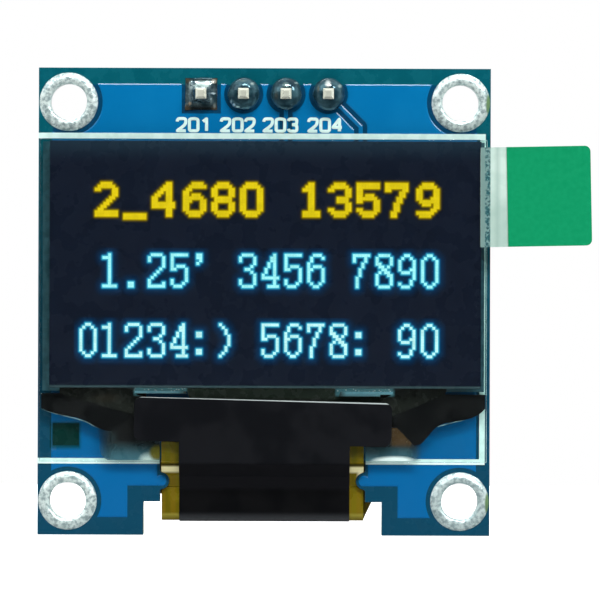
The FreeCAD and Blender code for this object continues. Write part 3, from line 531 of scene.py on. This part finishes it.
strip_film = Finish(
    "strip_film", (0.59, 0.75, 0.68), (0.5, 0.67, 0.6), patches=1100, spread=(0.35, 0.62),
    roughness=(0.12, 0.25), grains=2500, swells=900, depth=0.004, specular=0.3)
strip_film.add_fade(7, 5.2, (0.3, 0.46, 0.4), 0.55)
strip_film.add_area(13.78, 14.02, 3, 9.6, 0.25, (0.24, 0.38, 0.33), 0.5)
stuck_part = strip_film.area(12.9, 13.48, 3, 9.6, 0.06)
strip_film.add_colour(stuck_part, (0.21, 0.34, 0.32))
flaws = strip_film.effect(MOTTLING, Patches=6000, Low=0.44, High=0.56)
strip_film.add_area(13.17, 13.47, 3, 9.6, 0.08, (0.03, 0.13, 0.145), flaws)
free_part = strip_film.area(13.46, 15.2, 3, 9.6, 0.08)
strip_film.set(Alpha=strip_film.either(strip_film.times(free_part, 0.78), strip_film.times(stuck_part, 0.66)))

green_film = Finish(
    "green_film", (0.0006, 0.262, 0.106), (0.0004, 0.236, 0.094), patches=3600, spread=(0.3, 0.7),
    roughness=(0.34, 0.45), grains=9000, swells=2500, specular=0.15)

capacitor_body = Finish(
    "capacitor_body", (0.47, 0.33, 0.2), (0.38, 0.26, 0.155), patches=1400, roughness=(0.35, 0.5),
    grains=9000, depth=0.006)
resistor_coat = Finish(
    "resistor_coat", (0.028, 0.028, 0.03), (0.016, 0.016, 0.018), patches=1400, roughness=(0.3, 0.45),
    grains=9000, depth=0.006)
tinned_end = Finish(
    "tinned_end", (0.72, 0.72, 0.7), (0.5, 0.5, 0.49), patches=2500, roughness=(0.25, 0.4), grains=7000,
    depth=0.01, Metallic=0.8)
moulded_body = Finish(
    "moulded_body", (0.03, 0.03, 0.032), (0.018, 0.018, 0.019), patches=1700, roughness=(0.5, 0.7),
    grains=12000, depth=0.012)
lead_metal = Finish(
    "lead_metal", (0.74, 0.74, 0.72), (0.58, 0.58, 0.56), patches=1900, roughness=(0.25, 0.35), grains=7000,
    depth=0.006, Metallic=1)


def light_finish(name):
    """A black finish for what gives its own light, and the mask of its uneven strength."""
    black = (0, 0, 0)
    made = Finish(name, black, black, roughness=(0.6, 0.7), depth=0, specular=0, Emission_Strength=1)
    return made, made.effect(MOTTLING, Patches=1800, Low=0.3, High=0.7)


def lit_finish(name, colour):
    """A lit pixel."""
    made, mask = light_finish(name)
    dim, bright = ((*(part * share for part in colour), 1) for share in (0.9, 1.06))
    made.set(Emission_Color=made.mix(mask, dim, bright))
    return made


def glow_finish(name, near, far, strength):
    """The haze of light round lit pixels, as strong as the piece's own glow attribute says."""
    made, mask = light_finish(name)
    glow = made.add("Attribute", attribute_name="glow").outputs["Fac"]
    uneven = made.mix(mask, (*(part * 0.85 for part in near), 1), (*near, 1))
    colour = made.mix(made.times(glow, glow), (*far, 1), uneven)
    made.set(Emission_Color=colour, Alpha=made.times(glow, strength))
    return made


yellow_light = lit_finish("yellow_light", (0.8, 0.62, 0.01))
yellow_glow = glow_finish("yellow_glow", (0.8, 0.58, 0), (0.22, 0.15, 0), 0.6)
blue_light = lit_finish("blue_light", (0.39, 0.98, 1))
pale_blue_light = lit_finish("pale_blue_light", (0.58, 1, 1))
blue_glow = glow_finish("blue_glow", (0.06, 0.62, 0.85), (0.001, 0.11, 0.34), 0.72)


# Tools for shaping pieces

def only(piece):
    """Selects one piece and makes it the active one."""
    if bpy.context.object and bpy.context.object.mode != "OBJECT":
        bpy.ops.object.mode_set(mode="OBJECT")
    bpy.ops.object.select_all(action="DESELECT")
    piece.select_set(True)
    bpy.context.view_layer.objects.active = piece


def edit(piece, action="SELECT"):
    """Goes into edit mode with all of a piece selected, or nothing."""
    only(piece)
    bpy.ops.object.mode_set(mode="EDIT")
    bpy.ops.mesh.select_all(action=action)


def leave_edit():
    bpy.ops.object.mode_set(mode="OBJECT")


def pick_faces(piece, test):
    """Goes into edit mode with the faces selected that pass a test."""
    edit(piece, "DESELECT")
    bpy.ops.mesh.select_mode(type="FACE")
    leave_edit()
    for face in piece.data.polygons:
        face.select = bool(test(face))
    bpy.ops.object.mode_set(mode="EDIT")


def merge_and_face_out(apart):
    """Merges the points that lie closer than so many millimetres, and turns the faces outwards."""
    bpy.ops.mesh.select_all(action="SELECT")
    bpy.ops.mesh.remove_doubles(threshold=apart * MM)
    bpy.ops.mesh.normals_make_consistent(inside=False)
    leave_edit()


def cut_across(piece, planes):
    """Cuts all faces of a piece along planes, each given by a point and a normal."""
    edit(piece)
    for place, normal in planes:
        bpy.ops.mesh.select_all(action="SELECT")
        bpy.ops.mesh.bisect(plane_co=place, plane_no=normal)
    leave_edit()


def new_piece(name, data):
    piece = bpy.data.objects.new(name, data)
    bpy.context.scene.collection.objects.link(piece)
    return piece


def sized(name, size):
    """Names the plain shape that was just added and gives it its size."""
    piece = bpy.context.object
    piece.name = name
    piece.scale = size
    bpy.ops.object.transform_apply(location=True, rotation=True, scale=True)
    return piece


def middle_of(node):
    low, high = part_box(node)
    return (low + high) / 2


def apply_modifier(piece, kind, **settings):
    only(piece)
    modifier = piece.modifiers.new(kind.lower(), kind)
    for label, value in settings.items():
        setattr(modifier, label, value)
    bpy.ops.object.modifier_apply(modifier=modifier.name)


def smooth(piece, angle=35):
    """Smooth shading over the small faces, with the large flat ones left flat."""
    only(piece)
    bpy.ops.object.shade_smooth_by_angle(angle=math.radians(angle))
    apply_modifier(piece, "WEIGHTED_NORMAL", mode="FACE_AREA", weight=100, keep_sharp=True)


def settle(piece, finishes, slot, *stands_for):
    """Gives a finished piece its materials and its body, and hides the nodes that it stands for. The slot is
    not used.
    """
    for made in finishes:
        piece.data.materials.append(made.material)
    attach(piece, "root")
    if stands_for:
        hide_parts(*stands_for)


def copy_of_node(node, name):
    """A copy of a CAD node with its loose triangles merged and its flat faces made whole."""
    piece = new_piece(name, nodes_of_cad[node].data.copy())
    piece.data.materials.clear()
    edit(piece)
    bpy.ops.mesh.remove_doubles(threshold=0.0005 * MM)
    bpy.ops.mesh.dissolve_limited(angle_limit=math.radians(0.5))
    leave_edit()
    return piece


def softened(node, name, width, slack=0, segments=2):
    """A copy of a CAD node with rounded edges. Slack thins it a little in depth, clear of its neighbours."""
    piece = copy_of_node(node, name)
    if slack:
        low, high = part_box(node)
        middle = (low.y + high.y) / 2
        share = 1 - 2 * slack * MM / (high.y - low.y)
        for vertex in piece.data.vertices:
            vertex.co.y = middle + (vertex.co.y - middle) * share
    if width:
        apply_modifier(piece, "BEVEL", width=width * MM, segments=segments, limit_method="ANGLE",
                       angle_limit=math.radians(30), use_clamp_overlap=True)
    smooth(piece)
    return piece


def dress(node, name, width, made, slot, **settings):
    """A CAD node with rounded edges and a finish."""
    settle(softened(node, name, width, **settings), [made], slot, node)


# Circuit board, its lacquered copper and prints

def make_board():
    board = softened("circuit_board", "board", 0.03)
    for face in board.data.polygons:
        face.material_index = 1 if abs(face.normal.y) < 0.4 else 0
    settle(board, [board_lacquer, laminate_edge], "board_lacquer", "circuit_board")


def make_lacquered_copper(node, name, outer):
    """The copper area with lacquer that slopes down at each edge. Outer is the sign of its outer side."""
    piece = copy_of_node(node, name)
    low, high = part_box(node)
    face_y = high.y if outer > 0 else low.y
    height = high.y - low.y
    beside_x, window_x, window_low, window_high = -12.5 * MM, -10.9 * MM, -8.87 * MM, -7.25 * MM

    def at_window(place, right):
        return outer < 0 and place.x < right and window_low < place.z < window_high

    def at_pads(place):
        return -5.2 * MM < place.x < -2.4 * MM and 11 * MM < place.z < 12.98 * MM

    def shaped(face):
        at_face = abs(face.center.y - face_y) < 0.001 * MM and face.normal.y * outer > 0.9
        return at_face and not at_window(face.center, beside_x)

    if outer < 0:
        cut_across(piece, (((beside_x, 0, 0), (1, 0, 0)), ((0, 0, window_low), (0, 0, 1)),
                           ((0, 0, window_high), (0, 0, 1))))
    pick_faces(piece, shaped)
    for inward, drop in ((0.06, 0.8), (0.035, 0.14)):
        bpy.ops.mesh.inset(thickness=inward * MM, use_even_offset=True)
        leave_edit()
        inner = {point for face in piece.data.polygons if face.select for point in face.vertices}
        for vertex in piece.data.vertices:
            outside = abs(vertex.co.y - face_y) < 0.0005 * MM and vertex.index not in inner
            if outside and not at_window(vertex.co, window_x) and not at_pads(vertex.co):
                vertex.co.y -= outer * height * drop
        bpy.ops.object.mode_set(mode="EDIT")
    leave_edit()
    settle(piece, [blue_copper], "lacquered_copper", node)


make_board()
make_lacquered_copper("front_copper", "front_lacquer", -1)
make_lacquered_copper("back_copper", "back_lacquer", 1)


# The strokes of printed figures, in shares of a figure's width and height
STROKES = {
    "0": [[(0.5, 1), (0.02, 1), (0, 0.72), (0, 0.28), (0.02, 0), (0.5, 0), (0.98, 0), (1, 0.28), (1, 0.72),
           (0.98, 1), (0.5, 1)]],
    "1": [[(0.18, 0.76), (0.58, 1), (0.58, 1), (0.58, 0)]],
    "2": [[(0, 0.76), (0.04, 1), (0.5, 1), (0.98, 1), (1, 0.7), (0.85, 0.45), (0, 0), (0, 0), (1, 0)]],
    "3": [[(0, 0.84), (0.08, 1), (0.5, 1), (0.96, 1), (0.98, 0.76), (0.92, 0.53), (0.42, 0.53)],
          [(0.42, 0.53), (0.94, 0.53), (1, 0.27), (0.96, 0), (0.5, 0), (0.08, 0), (0, 0.18)]],
    "4": [[(0.74, 0), (0.74, 1), (0.74, 1), (0, 0.32), (0, 0.32), (1.02, 0.32)]],
}


def tube(name, paths, radius, corner_order=3):
    """A round line along each path of points, as one mesh."""
    curve = bpy.data.curves.new(name, "CURVE")
    curve.dimensions = "3D"
    curve.bevel_depth = radius
    curve.bevel_resolution = 3
    curve.resolution_u = 8
    curve.use_fill_caps = True
    for points in paths:
        spline = curve.splines.new("NURBS")
        spline.points.add(len(points) - 1)
        for point, place in zip(spline.points, points):
            point.co = (*place, 1)
        spline.order_u = corner_order
        spline.use_endpoint_u = True
    only(new_piece(name, curve))
    bpy.ops.object.convert(target="MESH")
    edit(bpy.context.object)
    merge_and_face_out(0.0005)
    return bpy.context.object


def flatten(piece, share):
    """Presses a piece flat against the depth at which its middle lies."""
    middle = sum((vertex.co.y for vertex in piece.data.vertices)) / len(piece.data.vertices)
    for vertex in piece.data.vertices:
        vertex.co.y = middle + (vertex.co.y - middle) * share


def make_print_numbers():
    """Plain printed numbers under the header pads."""
    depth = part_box("frame_print")[0].y + 0.012 * MM
    step, width, height, bottom, line_radius, flatness = 0.73, 0.52, 0.73, 10.23, 0.098, 0.13
    for words, middle in (("201", -4.26), ("202", -1.62), ("203", 0.94), ("204", 3.62)):
        paths = []
        for place, figure in enumerate(words):
            left = middle - (2 * step + width) / 2 + step * place
            for stroke in STROKES[figure]:
                paths.append([((left + width * x) * MM, depth, (bottom + height * z) * MM)
                              for x, z in stroke])
        piece = tube("print_number_" + words, paths, line_radius * MM)
        flatten(piece, flatness)
        smooth(piece)
        settle(piece, [white_print], "white_print")


make_print_numbers()


# Solder: rims round the holes and joints on the header pads

def spun(name, section, centre):
    """Turns a section of (radius, y) points, in millimetres, about the Y axis through a centre."""
    bpy.ops.mesh.primitive_circle_add(vertices=len(section))
    piece = bpy.context.object
    piece.name = name
    for vertex, (radius, y) in zip(piece.data.vertices, section):
        vertex.co = (centre.x + radius * MM, y * MM, centre.z)
    edit(piece)
    bpy.ops.mesh.spin(steps=96, angle=2 * math.pi, center=(centre.x, 0, centre.z), axis=(0, 1, 0))
    merge_and_face_out(0.002)
    return piece


# How the layers of lumps are summed, from coarse to fine
SOFTNESS, FINER_EACH_TIME, LAYERS = 0.9, 2, 3


def make_lumpy(piece, lump, scale, lets_move):
    """Moves each point outwards or inwards along its normal, where a test lets it."""
    shifts = []
    for vertex in piece.data.vertices:
        amount = noise.fractal(vertex.co * scale, SOFTNESS, FINER_EACH_TIME, LAYERS) * lump * MM
        amount = amount if lets_move(vertex.co) else 0
        shifts.append(vertex.normal * amount)
    for vertex, shift in zip(piece.data.vertices, shifts):
        vertex.co += shift


def make_rim(node):
    hole_radius = 1.1
    outline = [(0, 0), (0, -0.06), (0.03, -0.13), (0.1, -0.175), (0.2, -0.195), (0.31, -0.192),
               (0.42, -0.165), (0.51, -0.12), (0.59, -0.068), (0.64, -0.025), (0.655, 0), (0.655, 1.2),
               (0.64, 1.225), (0.51, 1.32), (0.31, 1.392), (0.1, 1.375), (0.03, 1.33), (0, 1.26), (0, 1.2),
               (0, 0.6)]
    piece = spun("solder_" + node, [(hole_radius + beyond, y) for beyond, y in outline], middle_of(node))
    make_lumpy(piece, 0.035, 1000, lambda place: -0.17 * MM < place.y < -0.01 * MM)
    smooth(piece, 60)
    settle(piece, [rim_solder], "solder", node)


for corner in ("top_left", "top_right", "bottom_left", "bottom_right"):
    make_rim("hole_rim_" + corner)


def make_square_joint():
    """Solder drawn up from the corners of the square pad to the first pin, with hollow sides."""
    centre = middle_of("header_pin_1")
    bpy.ops.mesh.primitive_cube_add(size=1, location=(centre.x, -0.046 * MM, centre.z))
    piece = sized("square_solder_joint", (1.88 * MM, 0.02 * MM, 1.88 * MM))
    pick_faces(piece, lambda face: face.normal.y < -0.9)
    for inward, rise in ((0.2, 0.05), (0.17, 0.12), (0.12, 0.22), (0.07, 0.28), (0.04, 0.25)):
        bpy.ops.mesh.inset(thickness=inward * MM, depth=rise * MM)
    leave_edit()
    pick_faces(piece, lambda face: face.normal.y > 0.9)
    bpy.ops.mesh.inset(thickness=0.6 * MM)
    bpy.ops.mesh.extrude_region_move(TRANSFORM_OT_translate={"value": (0, 1.236 * MM, 0)})
    leave_edit()
    apply_modifier(piece, "SUBSURF", levels=3, render_levels=3, subdivision_type="SIMPLE")
    make_lumpy(piece, 0.13, 900, lambda place: place.y < -0.05 * MM)
    smooth(piece, 60)
    settle(piece, [corner_solder], "solder", "header_solder_1")


def make_round_joint(number):
    section = [(0.94, -0.036), (0.985, -0.14), (0.98, -0.3), (0.93, -0.5), (0.82, -0.7), (0.68, -0.86),
               (0.49, -0.97), (0.26, -1.02), (0, -1.03), (0, 1.2), (0.48, 1.2), (0.48, 0)]
    piece = spun("round_solder_joint_%d" % number, section, middle_of("header_pin_%d" % number))
    make_lumpy(piece, 0.06, 600, lambda place: place.y < -0.06 * MM)
    smooth(piece, 60)
    settle(piece, [dark_solder], "solder", "header_solder_%d" % number)


make_square_joint()
for number in (2, 3, 4):
    make_round_joint(number)


# Panel: glass, films and pull tab

dress("front_glass", "front_sheet", 0.02, panel_glass, "panel_glass", slack=0.004)
dress("cap_glass", "rear_sheet", 0.02, panel_glass, "panel_glass", slack=0.004)
dress("polarizer", "dark_film", 0.02, polarizer_film, "polarizer_film")
dress("clear_film", "cover_film", 0, film_clear, "clear_plastic_film", slack=0.007)
dress("tab_strip", "pull_strip", 0, strip_film, "clear_plastic_film", slack=0.004)
dress("tab_grip", "pull_grip", 0.015, green_film, "green_film")
dress("dark_sealant", "side_sealant", 0, sealant_dark, "dark_sealant", slack=0.005)
dress("clear_sealant", "ribbon_sealant", 0, sealant_clear, "clear_sealant", slack=0.006)


def make_ribbon():
    """The folded ribbon, whose side notches are drawn in close to the board's round nubs."""
    piece = copy_of_node("ribbon", "folded_ribbon")
    nub_z, notch_inner, notch_outer, close_radius = -10.75 * MM, 0.7 * MM, 0.8 * MM, 0.53 * MM
    for side, nub_x, edge_x in ((1, -6.16 * MM, -6.11 * MM), (-1, 6.04 * MM, 5.99 * MM)):
        for vertex in piece.data.vertices:
            away_x, away_z = vertex.co.x - nub_x, vertex.co.z - nub_z
            if vertex.co.y < 0.5 * MM and notch_inner < math.hypot(away_x, away_z) < notch_outer:
                reach = math.sqrt(max(close_radius ** 2 - away_z ** 2, 0))
                vertex.co.x = nub_x + side * max(reach, side * (edge_x - nub_x))
    smooth(piece)
    settle(piece, [polyimide], "polyimide", "ribbon")


def make_ledge_lines():
    """Thin lines of clear resin against the back of the front glass."""
    low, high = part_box("cap_glass")
    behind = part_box("front_glass")[1].y
    for name, corner, side, points in (
            ("sealant_rim_left", low.x, 1, [(0.1, 0.92), (0.7, 1.17), (1.5, 1.35), (2.7, 1.65), (3.3, 1.99),
                                            (3.75, 2.15)]),
            ("sealant_rim_right", high.x, -1, [(0.12, 0.87), (1, 1.46), (1.95, 1.65), (2.9, 1.93)])):
        piece = tube(name, [[(corner + side * inward * MM, behind + 0.033 * MM, low.z - down * MM)
                             for inward, down in points]], 0.028 * MM)
        smooth(piece)
        settle(piece, [sealant_rim], "clear_sealant")
    for name, left, right, z, half_height in (("ledge_line_left", -7.75, -4.65, -5.4, 0.11),
                                              ("ledge_line_right", 4.35, 7.85, -5.49, 0.16)):
        path = [(x * MM, behind + 0.015 * MM, z * MM) for x in (left, (left + right) / 2, right)]
        piece = tube(name, [path], half_height * MM, 2)
        flatten(piece, 0.011 / half_height)
        smooth(piece)
        settle(piece, [ledge_resin], "clear_sealant")


make_ribbon()
make_ledge_lines()
dress("ribbon_tape", "ribbon_cover_tape", 0.02, black_tape, "black_tape")


# Lit text: plain figures as square pixels on the film. A row like 3*#..# stands for three the same.

FIGURES = {
    "0": "..##.. .#..#. 8*#....# .#..#. ..##..",
    "1": "..#... ###... 9*..#... #####.",
    "2": ".####. 2*#....# 2*.....# ....#. ...#.. ..#... .#.... #..... #....# ######",
    "3": ".####. 2*#....# .....# ....#. ..##.. ....#. 2*.....# 2*#....# .####.",
    "4": "....#. 2*...##. 2*..#.#. 2*.#..#. #...#. ###### 2*....#. ..####",
    "5": "###### 3*#..... #.###. ##...# 3*.....# #....# #...#. .###..",
    "6": "..###. .#...# .#.... #..... #.###. ##...# 4*#....# .#..#. ..##..",
    "7": "###### 2*#...#. 2*...#.. 3*..#... 4*.#....",
    "8": ".####. 2*#....# ##...# .##.#. ..##.. .#.##. #...## 3*#....# .####.",
    "9": "..##.. .#..#. 3*#....# #...## .###.# 2*.....# ....#. #...#. .###..",
    ":": "3*...... 2*.##... 4*...... 2*.##... ......",
    ".": "10*...... 2*.##...",
    "'": "2*.##... ..#... .#.... 8*......",
    ")": ".#.... ..#... 2*...#.. 4*....#. 2*...#.. ..#... .#....",
}


BOLD_FIGURES = {
    "0": "..####.. .######. 8*##....## .######. ..####..",
    "1": "...##... ..###... .####... 7*...##... 2*.######.",
    "2": "..####.. .######. ##....## 2*......## .....##. ....##.. ...##... ..##.... .##..... 2*########",
    "3": "..####.. .######. ##....## 2*......## 2*...####. 2*......## ##....## .######. ..####..",
    "4": ".....##. ....###. ...####. ..##.##. .##..##. 2*##...##. 2*######## 3*.....##.",
    "5": "2*######## 2*##...... ##.###.. #######. ##....## 2*......## ##....## .######. ..####..",
    "6": "...####. ..###### .##..... ##...... ##.###.. #######. ###...## 3*##....## .######. ..####..",
    "7": "2*######## ##....## 2*.....##. 2*....##.. 3*...##... 2*..##....",
    "8": "..####.. .######. 3*##....## 2*.######. 3*##....## .######. ..####..",
    "9": "..####.. .######. 3*##....## ##...### .####### ..###.## ......## .....##. ######.. .####...",
    "_": "11*........ 2*########",
}


def figure_rows(drawn):
    rows = []
    for part in drawn.split():
        times, _, row = part.rpartition("*")
        rows += [row] * int(times or 1)
    return rows


def lit_cells(words, figures, cell_width):
    """The (column, row) cells that a line of figures lights."""
    cells = set()
    for place, letter in enumerate(words):
        for row, line in enumerate(figure_rows(figures.get(letter, ""))):
            for column, mark in enumerate(line):
                if mark == "#":
                    cells.add((round(place * cell_width) + column, row))
    return cells


# The side of a cell, the cells in a line, and how far the pixels and their glow stand before the film
PITCH = 0.1698 * MM
LINE_COLUMNS, LINE_ROWS, GLOW_EDGE = 128, 14, 2
PIXEL_AHEAD, PIXEL_THICK, PIXEL_GAP = 0.0035 * MM, 0.002 * MM, 0.002 * MM
GLOW_AHEAD, GLOW_THICK, FAINTEST = 0.0015 * MM, 0.001 * MM, 0.02


def flat_grid(name, edge, steps, left, top, y):
    """A grid of a line's cells, with more cells round its edge and steps in each cell."""
    columns, rows = LINE_COLUMNS + 2 * edge, LINE_ROWS + 2 * edge
    middle = (left + (columns / 2 - edge) * PITCH, y, top - (rows / 2 - edge) * PITCH)
    bpy.ops.mesh.primitive_grid_add(x_subdivisions=columns * steps, y_subdivisions=rows * steps, size=1,
                                    location=middle, rotation=(math.radians(90), 0, 0))
    return sized(name, (columns * PITCH, rows * PITCH, 1))


def glow_at(x, z, cells, swell, haze):
    """How much the lit cells near a point light it. The point and the swell are counted in cells."""
    light = 0
    for column in range(int(x) - 3, int(x) + 4):
        for row in range(int(z) - 3, int(z) + 4):
            if (column, row) in cells:
                away_x = max(abs(x - column - 0.5) - 0.5 - swell, 0)
                away_z = max(abs(z - row - 0.5) - 0.5 - swell / 2, 0)
                away = away_x ** 2 + away_z ** 2
                light = max(light, math.exp(-away / 0.62 ** 2), haze * math.exp(-away / 1.9 ** 2))
    return light


def make_lit_line(name, words, figures, pixels, halo, cell_width, left, top, swell, haze):
    """One line of lit pixels, and the glow round them on the dark film."""
    cells = lit_cells(words, figures, cell_width)
    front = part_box("polarizer")[0].y

    def unlit(face):
        return (int((face.center.x - left) / PITCH), int((top - face.center.z) / PITCH)) not in cells

    piece = flat_grid(name, 0, 1, left, top, front - PIXEL_AHEAD)
    pick_faces(piece, unlit)
    bpy.ops.mesh.delete(type="FACE")
    bpy.ops.mesh.select_all(action="SELECT")
    bpy.ops.mesh.inset(thickness=PIXEL_GAP, use_individual=True)
    bpy.ops.mesh.select_all(action="INVERT")
    bpy.ops.mesh.delete(type="FACE")
    leave_edit()
    apply_modifier(piece, "SOLIDIFY", thickness=PIXEL_THICK, offset=0)
    settle(piece, [pixels], "emissive_film")

    glow = flat_grid(name + "_glow", GLOW_EDGE, 3, left, top, front - GLOW_AHEAD)
    lights = [glow_at((vertex.co.x - left) / PITCH, (top - vertex.co.z) / PITCH, cells, swell, haze)
              for vertex in glow.data.vertices]
    glow.data.attributes.new("glow", "FLOAT", "POINT").data.foreach_set("value", lights)
    pick_faces(glow, lambda face: max(lights[point] for point in face.vertices) < FAINTEST)
    bpy.ops.mesh.delete(type="FACE")
    leave_edit()
    apply_modifier(glow, "SOLIDIFY", thickness=GLOW_THICK, offset=0)
    settle(glow, [halo], "emissive_film")


make_lit_line("lit_line_1", "2_4680 13579", BOLD_FIGURES, yellow_light, yellow_glow, cell_width=10.24,
              left=-10.1 * MM, top=7.1 * MM, swell=-0.14, haze=0)
for name, words, made, top, haze in (("lit_line_2", " 1.25' 3456 7890", blue_light, 2.86, 0.16),
                                     ("lit_line_3", "01234:) 5678: 90", pale_blue_light, -1.3, 0.2)):
    make_lit_line(name, words, FIGURES, made, blue_glow, cell_width=8, left=-11 * MM, top=top * MM, swell=0,
                  haze=haze)


# Back of the board: header strip, soldered row and small parts

dress("header_housing", "header_strip", 0.08, header_plastic, "header_plastic")
dress("tail_solder", "tail_joints", 0.06, joint_solder, "solder", segments=3)
dress("component_solder", "part_joints", 0.03, joint_solder, "solder")
dress("regulator_body", "regulator_case", 0.03, moulded_body, "moulded_body")
dress("diode_body", "diode_case", 0.03, moulded_body, "moulded_body")
dress("regulator_leads", "regulator_legs", 0.015, lead_metal, "lead_metal")
dress("diode_leads", "diode_legs", 0.015, lead_metal, "lead_metal")


END_LENGTH, END_RISE = 0.32 * MM, 0.02 * MM


def model_chip_part(name, node, body_finish):
    """A chip part: a block cut in three along its length, with ends that stand proud of the body."""
    low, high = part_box(node)

    def in_body(face, beyond):
        return low.z + END_LENGTH + beyond < face.center.z < high.z - END_LENGTH - beyond

    bpy.ops.mesh.primitive_cube_add(size=1, location=middle_of(node))
    piece = sized(name, high - low)
    cut_across(piece, [((0, 0, z), (0, 0, 1)) for z in (low.z + END_LENGTH, high.z - END_LENGTH)])
    pick_faces(piece, lambda face: in_body(face, 0.01 * MM))
    bpy.ops.mesh.extrude_region_shrink_fatten(TRANSFORM_OT_shrink_fatten={"value": -END_RISE})
    leave_edit()
    apply_modifier(piece, "BEVEL", width=0.04 * MM, segments=3, limit_method="ANGLE",
                   angle_limit=math.radians(40))
    for made in (body_finish, tinned_end):
        piece.data.materials.append(made.material)
    for face in piece.data.polygons:
        face.material_index = 0 if in_body(face, 0.02 * MM) else 1
    smooth(piece)
    return piece


def place_chip_parts(name, kind, count, body_finish):
    """Models the first part of a kind, and copies it to the places of the others, each with its own mesh."""
    nodes = ["%s_%d" % (kind, number) for number in range(1, count + 1)]
    first = model_chip_part(name + "_1", nodes[0], body_finish)
    for number, node in enumerate(nodes[1:], 2):
        piece = new_piece("%s_%d" % (name, number), first.data.copy())
        shift = middle_of(node) - middle_of(nodes[0])
        for vertex in piece.data.vertices:
            vertex.co += shift
        settle(piece, [], kind + "_ceramic", node)
    settle(first, [], kind + "_ceramic", nodes[0])


place_chip_parts("tan_capacitor", "capacitor", 7, capacitor_body)
place_chip_parts("black_resistor", "resistor", 7, resistor_coat)


# Finishes of the CAD pieces that stay as they are

kept_finishes = {"header_pads": tinned_pad, "frame_print": white_print, "back_print": white_print,
                 "panel_adhesive": adhesive_film, "desiccant_sheet": desiccant_sheet,
                 "emissive_layer": emissive_film, "electrode_lines": electrode_film,
                 "edge_seal": seal_resin, "driver_chip": driver_silicon}
for number in (1, 2, 3, 4):
    kept_finishes["header_pin_%d" % number] = gold_pin
for node, made in kept_finishes.items():
    part = nodes_of_cad[node]
    part.data.materials.clear()
    part.data.materials.append(made.material)

bpy.context.scene.view_settings.view_transform = "Standard"
